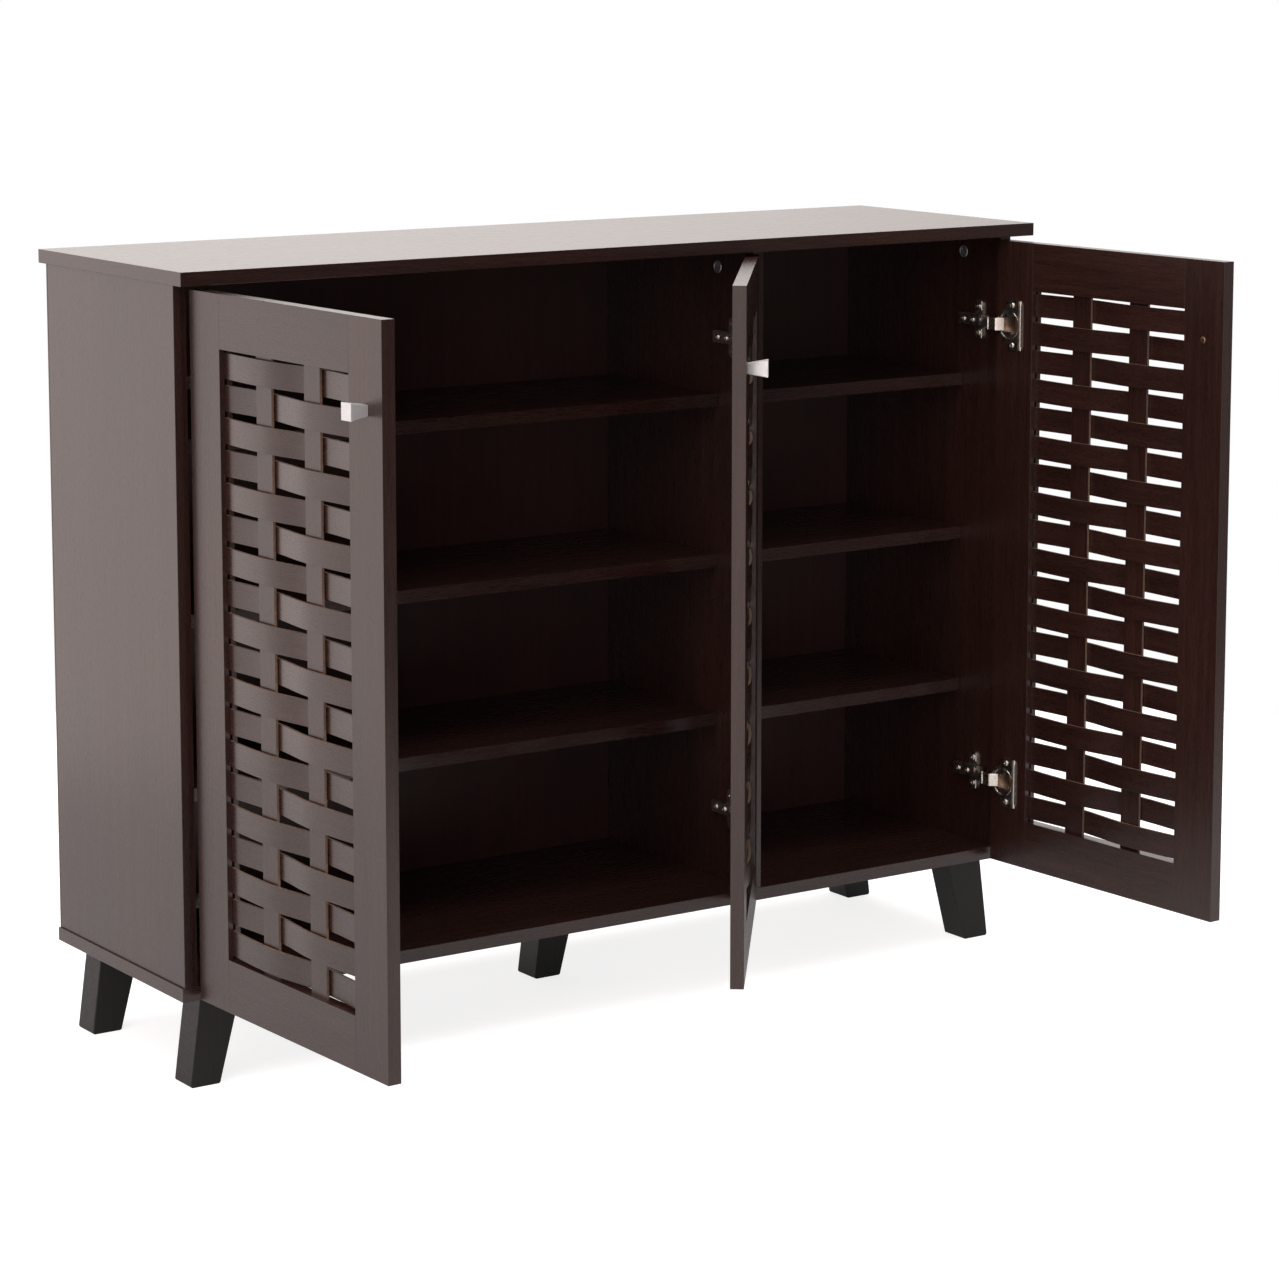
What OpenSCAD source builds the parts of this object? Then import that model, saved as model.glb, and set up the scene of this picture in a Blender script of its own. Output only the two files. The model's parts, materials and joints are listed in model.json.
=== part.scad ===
// Three-door shoe cabinet on splayed legs, stored with its doors open.
// Cabinet coordinates: X runs right from the left side's outer face, Y runs back
// from the side panels' front edges, and Z runs up from the bottom panel's upper face.
// Door coordinates: X runs from the door's hinge edge to its latch edge, Y runs from
// the closed door's outer face back into the cabinet, and Z runs up from its bottom edge.

/* [Carcass] */
// Width over the two side panels
carcass_w = 1120; // [900:5:1400]
// Depth of the side panels
carcass_d = 300; // [240:5:380]
// Clear height between the bottom and the top panel
carcass_h = 750; // [620:5:900]
// Thickness of the carcass boards
board_t = 15; // [12:0.5:22]
// How far the top panel stands out beyond each side panel
top_side_overhang = 8; // [0:1:20]
// How far the top panel stands out in front of the side panels
top_front_overhang = 33; // [24:1:50]
// How far the top panel stands out behind the side panels
top_back_overhang = 5; // [3:1:20]
// How far the bottom panel stands out beyond each side panel
bottom_side_overhang = 2.5; // [0:0.5:6]
// Thickness of the two back panels
back_t = 3; // [2.5:0.5:5]
// Gap between the two back panels, behind the partition
back_gap = 1; // [0.5:0.5:3]

/* [Shelves] */
// Clear height under the lowest shelves
bottom_bay_h = 183; // [140:1:225]
// Height from the top of one shelf to the top of the next
shelf_pitch = 189.5; // [150:0.5:230]
// How far the shelves stand back from the side panels' front edges
shelf_setback = 68; // [40:1:110]
// Clearance at each end of a shelf
shelf_end_gap = 0.5; // [0.2:0.1:0.9]
// Clearance behind a shelf
shelf_back_gap = 0.8; // [0.2:0.1:0.9]
// Diameter of a shelf pin
pin_d = 5; // [4:0.5:6]
// Length of a shelf pin that stands out under the shelf
pin_reach = 8; // [6:1:10]
// Distance from a shelf's front or back edge to its pins
pin_edge = 37; // [25:1:50]

/* [Legs] */
// Height of the legs under the bottom panel
leg_h = 100; // [70:5:160]
// Width of a leg at its top
leg_top_w = 49; // [36:1:60]
// Width of a leg at its foot
leg_foot_w = 36; // [26:1:45]
// Depth of a leg from front to back
leg_d = 38; // [28:1:50]
// How far a leg's outer face runs out between its top and its foot
leg_splay = 13; // [0:1:20]
// Distance from a side panel's outer face to the top of a leg
leg_side_inset = 25; // [14:1:60]
// Distance from the side panels' front or back edges to a leg
leg_edge_inset = 13; // [5:1:40]
// Distance from the side panels' front edges to the centre leg
centre_leg_setback = 160; // [60:1:220]
// Radius of the leg's foot corners
leg_foot_r = 3; // [1:0.5:6]

/* [Doors] */
// Thickness of the door frames
door_t = 15; // [14:0.5:20]
// Gap between a closed door and the side panels' front edges
door_front_gap = 3; // [2.8:0.1:3.4]
// Gap between a door's top edge and the top panel
door_top_gap = 5; // [2:0.5:8]
// How far the doors reach down past the bottom panel's upper face
door_drop = 11; // [4:0.5:14]
// Distance from a side panel's outer face to the hinge edge of its closed door
door_reveal = 1; // [0.5:0.25:3]
// Gap between two closed doors
door_gap = 2.5; // [2:0.25:4]
// Width of the stiles
stile_w = 60.5; // [50:0.5:75]
// Height of the rails
rail_w = 57; // [45:0.5:75]
// How far the left door stands open
left_open = 88; // [0:1:105]
// How far the middle door stands open
middle_open = 52; // [0:1:105]
// How far the right door stands open
right_open = 93; // [0:1:105]

/* [Basket weave] */
// Number of cross slats in a door
slat_rows = 19; // [11:2:25]
// Gap between two cross slats
slat_gap = 6.6; // [3:0.2:10]
// Thickness of a cross slat
slat_t = 3; // [2:0.25:3.5]
// Width of an upright slat
upright_w = 30; // [20:1:40]
// Thickness of an upright slat
upright_t = 3; // [2:0.25:3.5]
// Clearance between a cross slat and the upright slat that it passes
weave_gap = 0.25; // [0.15:0.05:0.5]
// How far a cross slat bows out over an upright slat
slat_bow = 0.8; // [0:0.1:1]
// How far the slats run into the frame
slat_tenon = 6; // [4:0.5:8]
// Depth of the frame's groove beyond the slats' ends
groove_relief = 0.8; // [0.3:0.1:0.9]
// Clearance on each face of a slat in the frame's groove
groove_gap = 0.2; // [0.1:0.05:0.4]

/* [Hinges and fittings] */
// Distance from a door's top or bottom edge to a hinge's centre
hinge_from_end = 100; // [80:1:140]
// Diameter of the hinge cup
cup_d = 35; // [35:1:40]
// Distance from the door's hinge edge to the cup's centre
cup_inset = 22; // [21.5:0.5:24]
// Distance between a cup's two screws
cup_screw_span = 48; // [45:1:52]
// Distance from the side panel's front edge to the mounting plate's screws
plate_setback = 37; // [32:1:40]
// Distance between a mounting plate's two screws
plate_screw_span = 32; // [32:1:40]
// Distance from a door's top edge to its knob
knob_from_top = 90; // [60:1:140]
// Width of the knob at its face
knob_face = 18; // [14:1:24]
// Width of the knob at the door
knob_base = 11; // [9:1:14]
// How far the knob stands out
knob_reach = 22; // [16:1:30]

/* [Hidden] */

$fn = 48;
cut = 1;           // overrun of a cut past the face that it opens
bore_gap = 0.05;   // radial clearance of a pin, bolt or screw in its bore

wenge = [0.13, 0.075, 0.065];
wenge_edge = [0.17, 0.11, 0.1];
leg_black = [0.12, 0.12, 0.12];
nickel = [0.72, 0.7, 0.66];
aluminium = [0.85, 0.86, 0.85];
zinc = [0.62, 0.63, 0.62];
brass = [0.6, 0.48, 0.3];
pine = [0.72, 0.56, 0.36];

// Doors
door_w = (carcass_w - 2 * door_reveal - 2 * door_gap) / 3;
door_h = carcass_h - door_top_gap + door_drop;
opening_w = door_w - 2 * stile_w;
opening_h = door_h - 2 * rail_w;
door_front_y = -(door_front_gap + door_t);
middle_hinge_x = door_reveal + 2 * door_w + door_gap;
right_hinge_x = carcass_w - door_reveal;

// Partition, behind the gap between the middle and the right door
partition_x = middle_hinge_x + (door_gap - board_t) / 2;
full_overlay = board_t - door_reveal;
half_overlay = middle_hinge_x - partition_x;

// The doors swing about an axis just in front of their faces. It lies as far in from the
// hinge edge as lets the door's inner edge pass the side panel, less swing_gap.
swing_gap = 0.9;
pivot_out = door_front_gap + door_t + 2.5;
pivot_in = sqrt(door_front_gap * (2 * pivot_out - door_front_gap)) - swing_gap;

// Basket weave
row_pitch = opening_h / slat_rows;
slat_h = row_pitch - slat_gap;
upright_gap = (opening_w - 2 * upright_w) / 3;
upright_centres = [
    stile_w + upright_gap + upright_w / 2,
    door_w - stile_w - upright_gap - upright_w / 2
];
weave_offset = (slat_t + upright_t) / 2 + weave_gap;
weave_land = upright_w / 2 + 2;
weave_steps = 36;

// Hinges: the link's pin and outline points are in a hinge's own frame, X from the door's
// hinge edge and Y from the side panel's front edge, with the door square to the cabinet
link_pin = [33.3, -1.4];
link_path = [link_pin, [33.9, -5], [34.6, -9.5], [35, -13.2], [35, -15.2], [34.6, -16.6],
             [33.3, -17.9], [31, -19.3], [28.4, -20.9], [25.8, -22.3]];
link_t = 1.6;
link_w = 15;
link_turn = 0.7;           // degrees that the link turns for one degree of the door
link_eye_r = 2.4;
link_eye_w = 2.2;
link_pin_r = 1.5;
arm_w = 13.5;
arm_t = 1.4;
arm_tip_w = 9.8;
arm_tail_y = 66;
arm_tail_h = 9.5;
arm_neck_y = 24;
arm_floor = 3;             // clearance under the arm's cheeks
arm_screw_ys = [57, 40];
plate_t = 2.5;
plate_rib_h = 6;
plate_rib_w = 10;
plate_rib_y = [22, 61];
plate_wing_w = 14;
plate_wing_reach = 24;
cup_depth = 12;
cup_wall = 1;
cup_pin = [8.55, 1.1];     // from the door's hinge edge, and in from its inner face
cup_pin_r = 1;
cup_pin_l = 19;
flange_t = 1.2;
flange_span = cup_screw_span + 13;
flange_far = 22;           // from the cup's centre to the flange's straight edge
flange_near = 5;
flange_lip = 6;
cup_screw_in = 5;          // the cup's screws lie this far past its centre

// Screws and bolts
screw_head_h = 1.6;
cup_screw_r = 1.75;
cup_screw_head_r = 3.4;
cup_screw_l = 11;
plate_screw_r = 1.75;
plate_screw_head_r = 3.5;
plate_screw_l = 11;
arm_screw_r = 2;
arm_screw_head_r = 3.2;
knob_screw_r = 2;
knob_screw_head_r = 4;
knob_screw_bite = 12;
base_screw_r = 2.5;
base_screw_head_r = 5;
base_screw_head_h = 3;
base_screw_l = 45;
bolt_r = 4;
bolt_up = 10;
bolt_down = 30;

// Cam locks and dowels under the top panel
cam_r = 7.5;
cam_depth = 12;
cam_proud = 0.6;
cam_setback = 70;
cam_from_top = 25;
cam_bolt_r = 3;
cam_bolt_up = 10;
dowel_r = 4;
dowel_l = 20;
dowel_inset = 60;
panel_xs = [0, partition_x, carcass_w - board_t];

// Shelves
pin_r = pin_d / 2;
pin_embed = board_t / 2 - 1;
shelf_tops = [for (i = [2, 1, 0]) bottom_bay_h + board_t + i * shelf_pitch];
shelf_d = carcass_d - shelf_setback - shelf_back_gap;
left_inner = [board_t, partition_x];
right_inner = [partition_x + board_t, carcass_w - board_t];

// Origin: on the floor, at the middle of the space that the cabinet takes up as stored
function turned(p, a) = [p[0] * cos(a) + p[1] * sin(a), p[1] * cos(a) - p[0] * sin(a)];
function swung(p, a) = [pivot_in, -pivot_out] + turned(p - [pivot_in, -pivot_out], a);
knob_x = door_w - stile_w / 2;
function outer_points(angle) = [
    for (p = [[door_w, door_front_y], [door_w, door_front_y + door_t],
              [knob_x - knob_face / 2, door_front_y - knob_reach],
              [knob_x + knob_face / 2, door_front_y - knob_reach]]) swung(p, angle)];
left_points = outer_points(left_open);
middle_points = outer_points(middle_open);
right_points = outer_points(right_open);
x_low = min(-top_side_overhang, door_reveal + min([for (p = left_points) p[0]]));
x_high = max(carcass_w + top_side_overhang, right_hinge_x - min([for (p = right_points) p[0]]));
y_low = min(-top_front_overhang,
            min([for (p = concat(left_points, middle_points, right_points)) p[1]]));
y_high = carcass_d + top_back_overhang;
origin = [(x_low + x_high) / 2, (y_low + y_high) / 2, -(leg_h + board_t)];

module placed() translate(-origin) children();

// ---- shared shapes ----

module board(x, y, z, size) translate([x, y, z]) cube(size);

module rod_x(r, l) rotate([0, 90, 0]) cylinder(r = r, h = l);
module rod_y(r, l) rotate([-90, 0, 0]) cylinder(r = r, h = l);

// Screw along +Y: its round head lies before the origin and its shank after it
module screw_y(r, head_r, l) {
    rod_y(r, l);
    translate([0, -screw_head_h, 0]) rod_y(head_r, screw_head_h);
}

// ---- places of the doors and their hinges ----

module left_hinge_frame() translate([door_reveal, 0, 0]) children();
module middle_hinge_frame() translate([middle_hinge_x, 0, 0]) mirror([1, 0, 0]) children();
module right_hinge_frame() translate([right_hinge_x, 0, 0]) mirror([1, 0, 0]) children();

// Turns a closed left-hand door open about the swing axis
module swing(angle) {
    translate([pivot_in, -pivot_out, 0]) rotate([0, 0, -angle])
        translate([-pivot_in, pivot_out, 0]) translate([0, door_front_y, -door_drop]) children();
}

module left_door() left_hinge_frame() swing(left_open) children();
module middle_door() middle_hinge_frame() swing(middle_open) children();
module right_door() right_hinge_frame() swing(right_open) children();

hinge_zs = [hinge_from_end - door_drop, door_h - door_drop - hinge_from_end];
module at_hinges() for (z = hinge_zs) translate([0, 0, z]) children();
module at_every_hinge() {
    left_hinge_frame() at_hinges() hinge_offset(full_overlay) children();
    middle_hinge_frame() at_hinges() hinge_offset(half_overlay) children();
    right_hinge_frame() at_hinges() hinge_offset(full_overlay) children();
}
module hinge_offset(overlay) translate([overlay, 0, 0]) children();

// ---- carcass ----

// Bores in an upright's inner faces for shelf pins; face_x is the bored face, dir its normal
module shelf_pin_bores(face_x, dir) {
    for (top = shelf_tops, y = [shelf_setback + pin_edge, shelf_setback + shelf_d - pin_edge])
        translate([face_x, y, top - board_t - pin_r]) rotate([0, 0, dir > 0 ? 180 : 0])
            translate([-cut, 0, 0]) rod_x(pin_r + bore_gap, pin_embed + 0.3 + cut);
}

// Bores for a mounting plate's screws, into the face at face_x
module plate_screw_bores(face_x, dir) {
    for (z = hinge_zs, side = [-1, 1])
        translate([face_x, plate_setback, z + side * plate_screw_span / 2])
            rotate([0, 0, dir > 0 ? 180 : 0])
                translate([-cut, 0, 0]) rod_x(plate_screw_r + bore_gap, plate_screw_l + cut);
}

// Bores for an upright's cam lock, cam bolt, dowel and base screws
module upright_fitting_bores(x, cam_face, dir) {
    translate([cam_face, cam_setback, carcass_h - cam_from_top]) rotate([0, 0, dir > 0 ? 180 : 0])
        translate([-cut, 0, 0]) rod_x(cam_r + bore_gap, cam_depth + cut);
    translate([x + board_t / 2, cam_setback, carcass_h - cam_from_top])
        cylinder(r = cam_bolt_r + 0.5, h = cam_from_top + cut);
    translate([x + board_t / 2, carcass_d - dowel_inset, carcass_h - dowel_l - 0.5])
        cylinder(r = dowel_r + bore_gap, h = dowel_l + 0.5 + cut);
    for (y = base_screw_ys)
        translate([x + board_t / 2, y, -cut])
            cylinder(r = base_screw_r + bore_gap, h = base_screw_l - board_t + 1 + cut);
}

base_screw_ys = [45 + leg_edge_inset + leg_d, carcass_d - 45 - leg_edge_inset - leg_d];

module left_side() color(wenge) difference() {
    board(0, 0, 0, [board_t, carcass_d, carcass_h]);
    shelf_pin_bores(board_t, 1);
    plate_screw_bores(board_t, 1);
    upright_fitting_bores(0, board_t, 1);
}

module right_side() color(wenge) difference() {
    board(carcass_w - board_t, 0, 0, [board_t, carcass_d, carcass_h]);
    shelf_pin_bores(carcass_w - board_t, -1);
    plate_screw_bores(carcass_w - board_t, -1);
    upright_fitting_bores(carcass_w - board_t, carcass_w - board_t, -1);
}

module partition() color(wenge) difference() {
    board(partition_x, 0, 0, [board_t, carcass_d, carcass_h]);
    shelf_pin_bores(partition_x, -1);
    shelf_pin_bores(partition_x + board_t, 1);
    plate_screw_bores(partition_x, -1);
    upright_fitting_bores(partition_x, partition_x, -1);
}

module top_panel() color(wenge) difference() {
    board(-top_side_overhang, -top_front_overhang, carcass_h,
          [carcass_w + 2 * top_side_overhang,
           top_front_overhang + carcass_d + top_back_overhang, board_t]);
    for (x = panel_xs) translate([x + board_t / 2, 0, carcass_h - cut]) {
        translate([0, cam_setback, 0]) cylinder(r = cam_bolt_r + bore_gap, h = cam_bolt_up + cut);
        translate([0, carcass_d - dowel_inset, 0])
            cylinder(r = dowel_r + bore_gap, h = cam_bolt_up + cut);
    }
}

module bottom_panel() color(wenge) difference() {
    board(-bottom_side_overhang, 0, -board_t,
          [carcass_w + 2 * bottom_side_overhang, carcass_d + back_t, board_t]);
    for (x = panel_xs, y = base_screw_ys) translate([x + board_t / 2, y, -board_t - cut]) {
        cylinder(r = base_screw_r + bore_gap, h = board_t + 2 * cut);
        cylinder(r = base_screw_head_r + bore_gap, h = base_screw_head_h + cut);
    }
    at_leg_tops() translate([0, 0, -cut]) cylinder(r = bolt_r + bore_gap, h = bolt_up + cut);
}

module back_panel(x0, x1) color(wenge)
    board(x0, carcass_d, 0, [x1 - x0, back_t, carcass_h]);
module left_back_panel() back_panel(0, partition_x + (board_t - back_gap) / 2);
module right_back_panel() back_panel(partition_x + (board_t + back_gap) / 2, carcass_w);

module shelf(inner, top) color(wenge_edge)
    board(inner[0] + shelf_end_gap, shelf_setback, top - board_t,
          [inner[1] - inner[0] - 2 * shelf_end_gap, shelf_d, board_t]);

module shelf_pins() color(nickel)
    for (top = shelf_tops, inner = [left_inner, right_inner],
         y = [shelf_setback + pin_edge, shelf_setback + shelf_d - pin_edge]) {
        translate([inner[0] - pin_embed, y, top - board_t - pin_r])
            rod_x(pin_r, pin_embed + pin_reach);
        translate([inner[1] - pin_reach, y, top - board_t - pin_r])
            rod_x(pin_r, pin_embed + pin_reach);
    }

// A cam lock's body, drawn along +X from its face, with its notch for the bolt
module cam_lock(x, face, dir) difference() {
    translate([face, cam_setback, carcass_h - cam_from_top])
        rotate([0, 0, dir > 0 ? 180 : 0])
            translate([-cam_proud, 0, 0]) rod_x(cam_r, cam_depth + cam_proud);
    translate([x + board_t / 2, cam_setback, carcass_h - cam_from_top])
        cylinder(r = cam_bolt_r + 0.5, h = cam_from_top);
}

module cam_locks() color(zinc) {
    cam_lock(0, board_t, 1);
    cam_lock(partition_x, partition_x, -1);
    cam_lock(carcass_w - board_t, carcass_w - board_t, -1);
}

module cam_bolts() color(nickel)
    for (x = panel_xs) translate([x + board_t / 2, cam_setback, carcass_h - cam_from_top + 0.3])
        cylinder(r = cam_bolt_r, h = cam_from_top + cam_bolt_up - 0.6);

module top_dowels() color(pine)
    for (x = panel_xs)
        translate([x + board_t / 2, carcass_d - dowel_inset, carcass_h - dowel_l])
            cylinder(r = dowel_r, h = dowel_l + cam_bolt_up - 0.5);

module base_screws() color(zinc)
    for (x = panel_xs, y = base_screw_ys) translate([x + board_t / 2, y, -board_t]) {
        cylinder(r = base_screw_head_r, h = base_screw_head_h);
        cylinder(r = base_screw_r, h = base_screw_l);
    }

// ---- legs ----

// Outline of a leg that splays to the left, from the floor up to the bottom panel, with
// its top left corner at X = 0
function arc(centre, r, a0, a1, n) =
    [for (i = [0:n]) centre + r * [cos(a0 + (a1 - a0) * i / n), sin(a0 + (a1 - a0) * i / n)]];
module leg_outline() {
    low = -leg_h;
    polygon(concat(
        [[0, 0]],
        arc([leg_foot_r - leg_splay, low + leg_foot_r], leg_foot_r, 180, 270, 5),
        arc([leg_foot_w - leg_splay - leg_foot_r, low + leg_foot_r], leg_foot_r, 270, 360, 5),
        [[leg_top_w, 0]]));
}

module leg() difference() {
    translate([0, leg_d, 0]) rotate([90, 0, 0]) linear_extrude(leg_d) leg_outline();
    translate([leg_top_w / 2, leg_d / 2, -bolt_down])
        cylinder(r = bolt_r + bore_gap, h = bolt_down + cut);
}

leg_ys = [leg_edge_inset, carcass_d - leg_edge_inset - leg_d];
centre_leg_x = (carcass_w - leg_foot_w) / 2 + leg_splay;
module left_leg_place(y) translate([leg_side_inset, y, -board_t]) children();
module right_leg_place(y) translate([carcass_w - leg_side_inset, y, -board_t])
    mirror([1, 0, 0]) children();
module centre_leg_place() translate([centre_leg_x, centre_leg_setback, -board_t]) children();

module at_leg_tops() {
    for (y = leg_ys) {
        left_leg_place(y) translate([leg_top_w / 2, leg_d / 2, 0]) children();
        right_leg_place(y) translate([leg_top_w / 2, leg_d / 2, 0]) children();
    }
    centre_leg_place() translate([leg_top_w / 2, leg_d / 2, 0]) children();
}

module front_left_leg() color(leg_black) left_leg_place(leg_ys[0]) leg();
module rear_left_leg() color(leg_black) left_leg_place(leg_ys[1]) leg();
module front_right_leg() color(leg_black) right_leg_place(leg_ys[0]) leg();
module rear_right_leg() color(leg_black) right_leg_place(leg_ys[1]) leg();
module centre_leg() color(leg_black) centre_leg_place() leg();

module leg_bolts() color(nickel) at_leg_tops() translate([0, 0, 0.5 - bolt_down])
    cylinder(r = bolt_r, h = bolt_down + bolt_up - 1);

// ---- hinge parts on the carcass; X = 0 is the face that carries the mounting plate ----

module plate() difference() {
    union() {
        translate([0, plate_rib_y[0], -plate_rib_w / 2])
            cube([plate_rib_h, plate_rib_y[1] - plate_rib_y[0], plate_rib_w]);
        translate([0, plate_setback - plate_wing_w / 2, -plate_wing_reach + plate_wing_w / 2])
            cube([plate_t, plate_wing_w, 2 * plate_wing_reach - plate_wing_w]);
        for (side = [-1, 1])
            translate([0, plate_setback, side * (plate_wing_reach - plate_wing_w / 2)])
                rod_x(plate_wing_w / 2, plate_t);
    }
    for (side = [-1, 1])
        translate([-cut, plate_setback, side * plate_screw_span / 2])
            rod_x(plate_screw_r + bore_gap, plate_t + 2 * cut);
    for (y = arm_screw_ys) translate([1, y, 0]) rod_x(arm_screw_r + bore_gap, plate_rib_h);
}

module plate_screws() for (side = [-1, 1])
    translate([plate_t, plate_setback, side * plate_screw_span / 2]) rotate([0, 0, 90])
        screw_y(plate_screw_r, plate_screw_head_r, plate_screw_l + plate_t - 0.5);

// Side view of the arm: a channel from its tail to the neck, then up to the tip
module arm_outline(tip, skin) {
    lean = tip[0] - arm_tail_h;
    difference() {
        union() {
            polygon([
                [arm_floor, arm_tail_y], [arm_floor, 16], [tip[0] - lean / 2, 6],
                [tip[0] - link_eye_r, tip[1]], [tip[0] + 0.2, tip[1] - link_eye_r],
                [tip[0] + link_eye_r, tip[1]], [tip[0] + link_eye_r - 0.4, tip[1] + 6],
                [arm_tail_h + 1.5, arm_neck_y], [arm_tail_h, arm_neck_y + 6],
                [arm_tail_h, arm_tail_y]
            ]);
            translate(tip) circle(link_eye_r);
        }
        if (skin > 0) polygon([
            [arm_floor - cut, arm_tail_y - 3], [arm_floor - cut, 20], [arm_floor + 2, 16],
            [arm_tail_h - skin, arm_neck_y + 2], [arm_tail_h - skin, arm_tail_y - 3]
        ]);
    }
}

// The whole arm is cut narrower at its tip, between the link's eyes
module arm(overlay) {
    tip = link_pin - [overlay, 0];
    difference() {
        translate([0, 0, -arm_w / 2]) linear_extrude(arm_w) arm_outline(tip, 0);
        translate([0, 0, -arm_w / 2 + arm_t]) linear_extrude(arm_w - 2 * arm_t) difference() {
            arm_outline(tip, 0);
            arm_outline(tip, arm_t);
        }
        for (side = [0, 1]) mirror([0, 0, side])
            translate([tip[0] - 9, tip[1] - 8, arm_tip_w / 2]) cube([16, 12.5, arm_w]);
        translate([tip[0], tip[1], -arm_w]) cylinder(r = link_pin_r + bore_gap, h = 2 * arm_w);
        for (y = arm_screw_ys) translate([arm_floor, y, 0]) rod_x(arm_screw_r + 0.2, 12);
    }
}

module arm_screw_set() for (y = arm_screw_ys)
    translate([arm_tail_h, y, 0]) rotate([0, 0, 90])
        screw_y(arm_screw_r, arm_screw_head_r, arm_tail_h - 2);

module hinge_plates() color(nickel) at_every_hinge() plate();
module hinge_plate_screws() color(nickel) at_every_hinge() plate_screws();
module full_overlay_arms() color(nickel) {
    left_hinge_frame() at_hinges() hinge_offset(full_overlay) arm(full_overlay);
    right_hinge_frame() at_hinges() hinge_offset(full_overlay) arm(full_overlay);
}
module half_overlay_arms() color(nickel)
    middle_hinge_frame() at_hinges() hinge_offset(half_overlay) arm(half_overlay);
module arm_screws() color(nickel) at_every_hinge() arm_screw_set();

// ---- hinge links ----

// Half of the strap's thickness, squared off against its path at point i
function along(a, b) = (b - a) / norm(b - a);
function mitre(i) =
    let (last = len(link_path) - 1,
         d0 = along(link_path[max(i - 1, 0)], link_path[max(i, 1)]),
         d1 = along(link_path[min(i, last - 1)], link_path[min(i + 1, last)]),
         m = (d0 + d1) / (1 + d0 * d1))
    link_t / 2 * [-m[1], m[0]];

// Outline of the link's curved strap from point i0 of its path to its rounded end
module strap_outline(i0) {
    last = len(link_path) - 1;
    d = along(link_path[last - 1], link_path[last]);
    heading = atan2(d[1], d[0]);
    polygon(concat(
        [for (i = [i0:last]) link_path[i] - mitre(i)],
        [for (a = [-60:30:60]) link_path[last] + link_t / 2 * [cos(heading + a), sin(heading + a)]],
        [for (i = [last:-1:i0]) link_path[i] + mitre(i)]));
}

module link_cheek() linear_extrude(link_eye_w) {
    strap_outline(0);
    translate(link_pin) circle(link_eye_r);
}

module link() {
    translate([0, 0, -link_w / 2]) link_cheek();
    translate([0, 0, link_w / 2 - link_eye_w]) link_cheek();
    translate([0, 0, link_eye_w - link_w / 2])
        linear_extrude(link_w - 2 * link_eye_w) strap_outline(1);
    translate([link_pin[0], link_pin[1], -link_w / 2]) cylinder(r = link_pin_r, h = link_w);
}

// Links of a door's two hinges, turned to suit the door's opening angle
module links(angle) color(nickel) at_hinges()
    translate([link_pin[0], link_pin[1], 0]) rotate([0, 0, link_turn * (angle - 90)])
        translate([-link_pin[0], -link_pin[1], 0]) link();

module left_hinge_links() left_hinge_frame() links(left_open);
module middle_hinge_links() middle_hinge_frame() links(middle_open);
module right_hinge_links() right_hinge_frame() links(right_open);

// ---- door parts, in door coordinates ----

cup_zs = [hinge_from_end, door_h - hinge_from_end];
groove_w = slat_t + 2 * groove_gap;
groove_d = slat_tenon + groove_relief;

module stile_board(x) translate([x, 0, 0]) cube([stile_w, door_t, door_h]);
module side_groove(x) translate([x, (door_t - groove_w) / 2, rail_w])
    cube([groove_d + cut, groove_w, opening_h]);

module hinge_stile() color(wenge) difference() {
    stile_board(0);
    side_groove(stile_w - groove_d);
    for (z = cup_zs) {
        translate([cup_inset, door_t - cup_depth - 0.3, z]) rod_y(cup_d / 2, cup_depth + 1);
        for (side = [-1, 1])
            translate([cup_inset + cup_screw_in, door_t - cup_screw_l, z + side * cup_screw_span / 2])
                rod_y(cup_screw_r + bore_gap, cup_screw_l + cut);
    }
}

module latch_stile() color(wenge) difference() {
    stile_board(door_w - stile_w);
    side_groove(door_w - stile_w - cut);
    translate([knob_x, -cut, door_h - knob_from_top]) rod_y(knob_screw_r + 0.1, door_t + 2 * cut);
}

module rail(z, groove_z) color(wenge) difference() {
    translate([stile_w, 0, z]) cube([opening_w, door_t, rail_w]);
    for (x = upright_centres)
        translate([x - upright_w / 2 - 0.3, (door_t - upright_t) / 2 - groove_gap, groove_z])
            cube([upright_w + 0.6, upright_t + 2 * groove_gap, groove_d + cut]);
}
module top_rail() rail(door_h - rail_w, door_h - rail_w - cut);
module bottom_rail() rail(0, rail_w - groove_d);

// 1 over the middle of an upright slat, falling in a smooth curve to 0 at each reach
function eased(u) = u <= 0 ? 0 : u >= 1 ? 1 : (1 - cos(180 * u)) / 2;
function rise(x, centre, left, right) =
    x < centre ? eased((x - centre + left) / (left - weave_land))
               : eased((centre + right - x) / (right - weave_land));
function bow(x, centre) =
    abs(x - centre) >= weave_land ? 0 : slat_bow * pow(cos(90 * (x - centre) / weave_land), 2);
// Distance of a cross slat's middle line from the door's middle plane
function weave(x) =
    let (c = upright_centres, mid = (c[1] - c[0]) / 2, edge = c[0] - stile_w)
    weave_offset * (rise(x, c[1], mid, edge) - rise(x, c[0], edge, mid))
    + bow(x, c[1]) - bow(x, c[0]);

module cross_slat(over) {
    x0 = stile_w - slat_tenon;
    x1 = door_w - stile_w + slat_tenon;
    step = (x1 - x0) / weave_steps;
    xs = [for (i = [0:weave_steps]) x0 + i * step];
    front = [for (x = xs) [x, door_t / 2 + over * weave(x) - slat_t / 2]];
    back = [for (i = [weave_steps:-1:0]) front[i] + [0, slat_t]];
    linear_extrude(slat_h) polygon(concat(front, back));
}

// Rows are counted from the top; odd rows pass in front of the hinge-side upright
module cross_slats() color(wenge) for (row = [0:slat_rows - 1])
    translate([0, 0, door_h - rail_w - (row + 0.5) * row_pitch - slat_h / 2])
        cross_slat(row % 2 == 0 ? 1 : -1);

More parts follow.
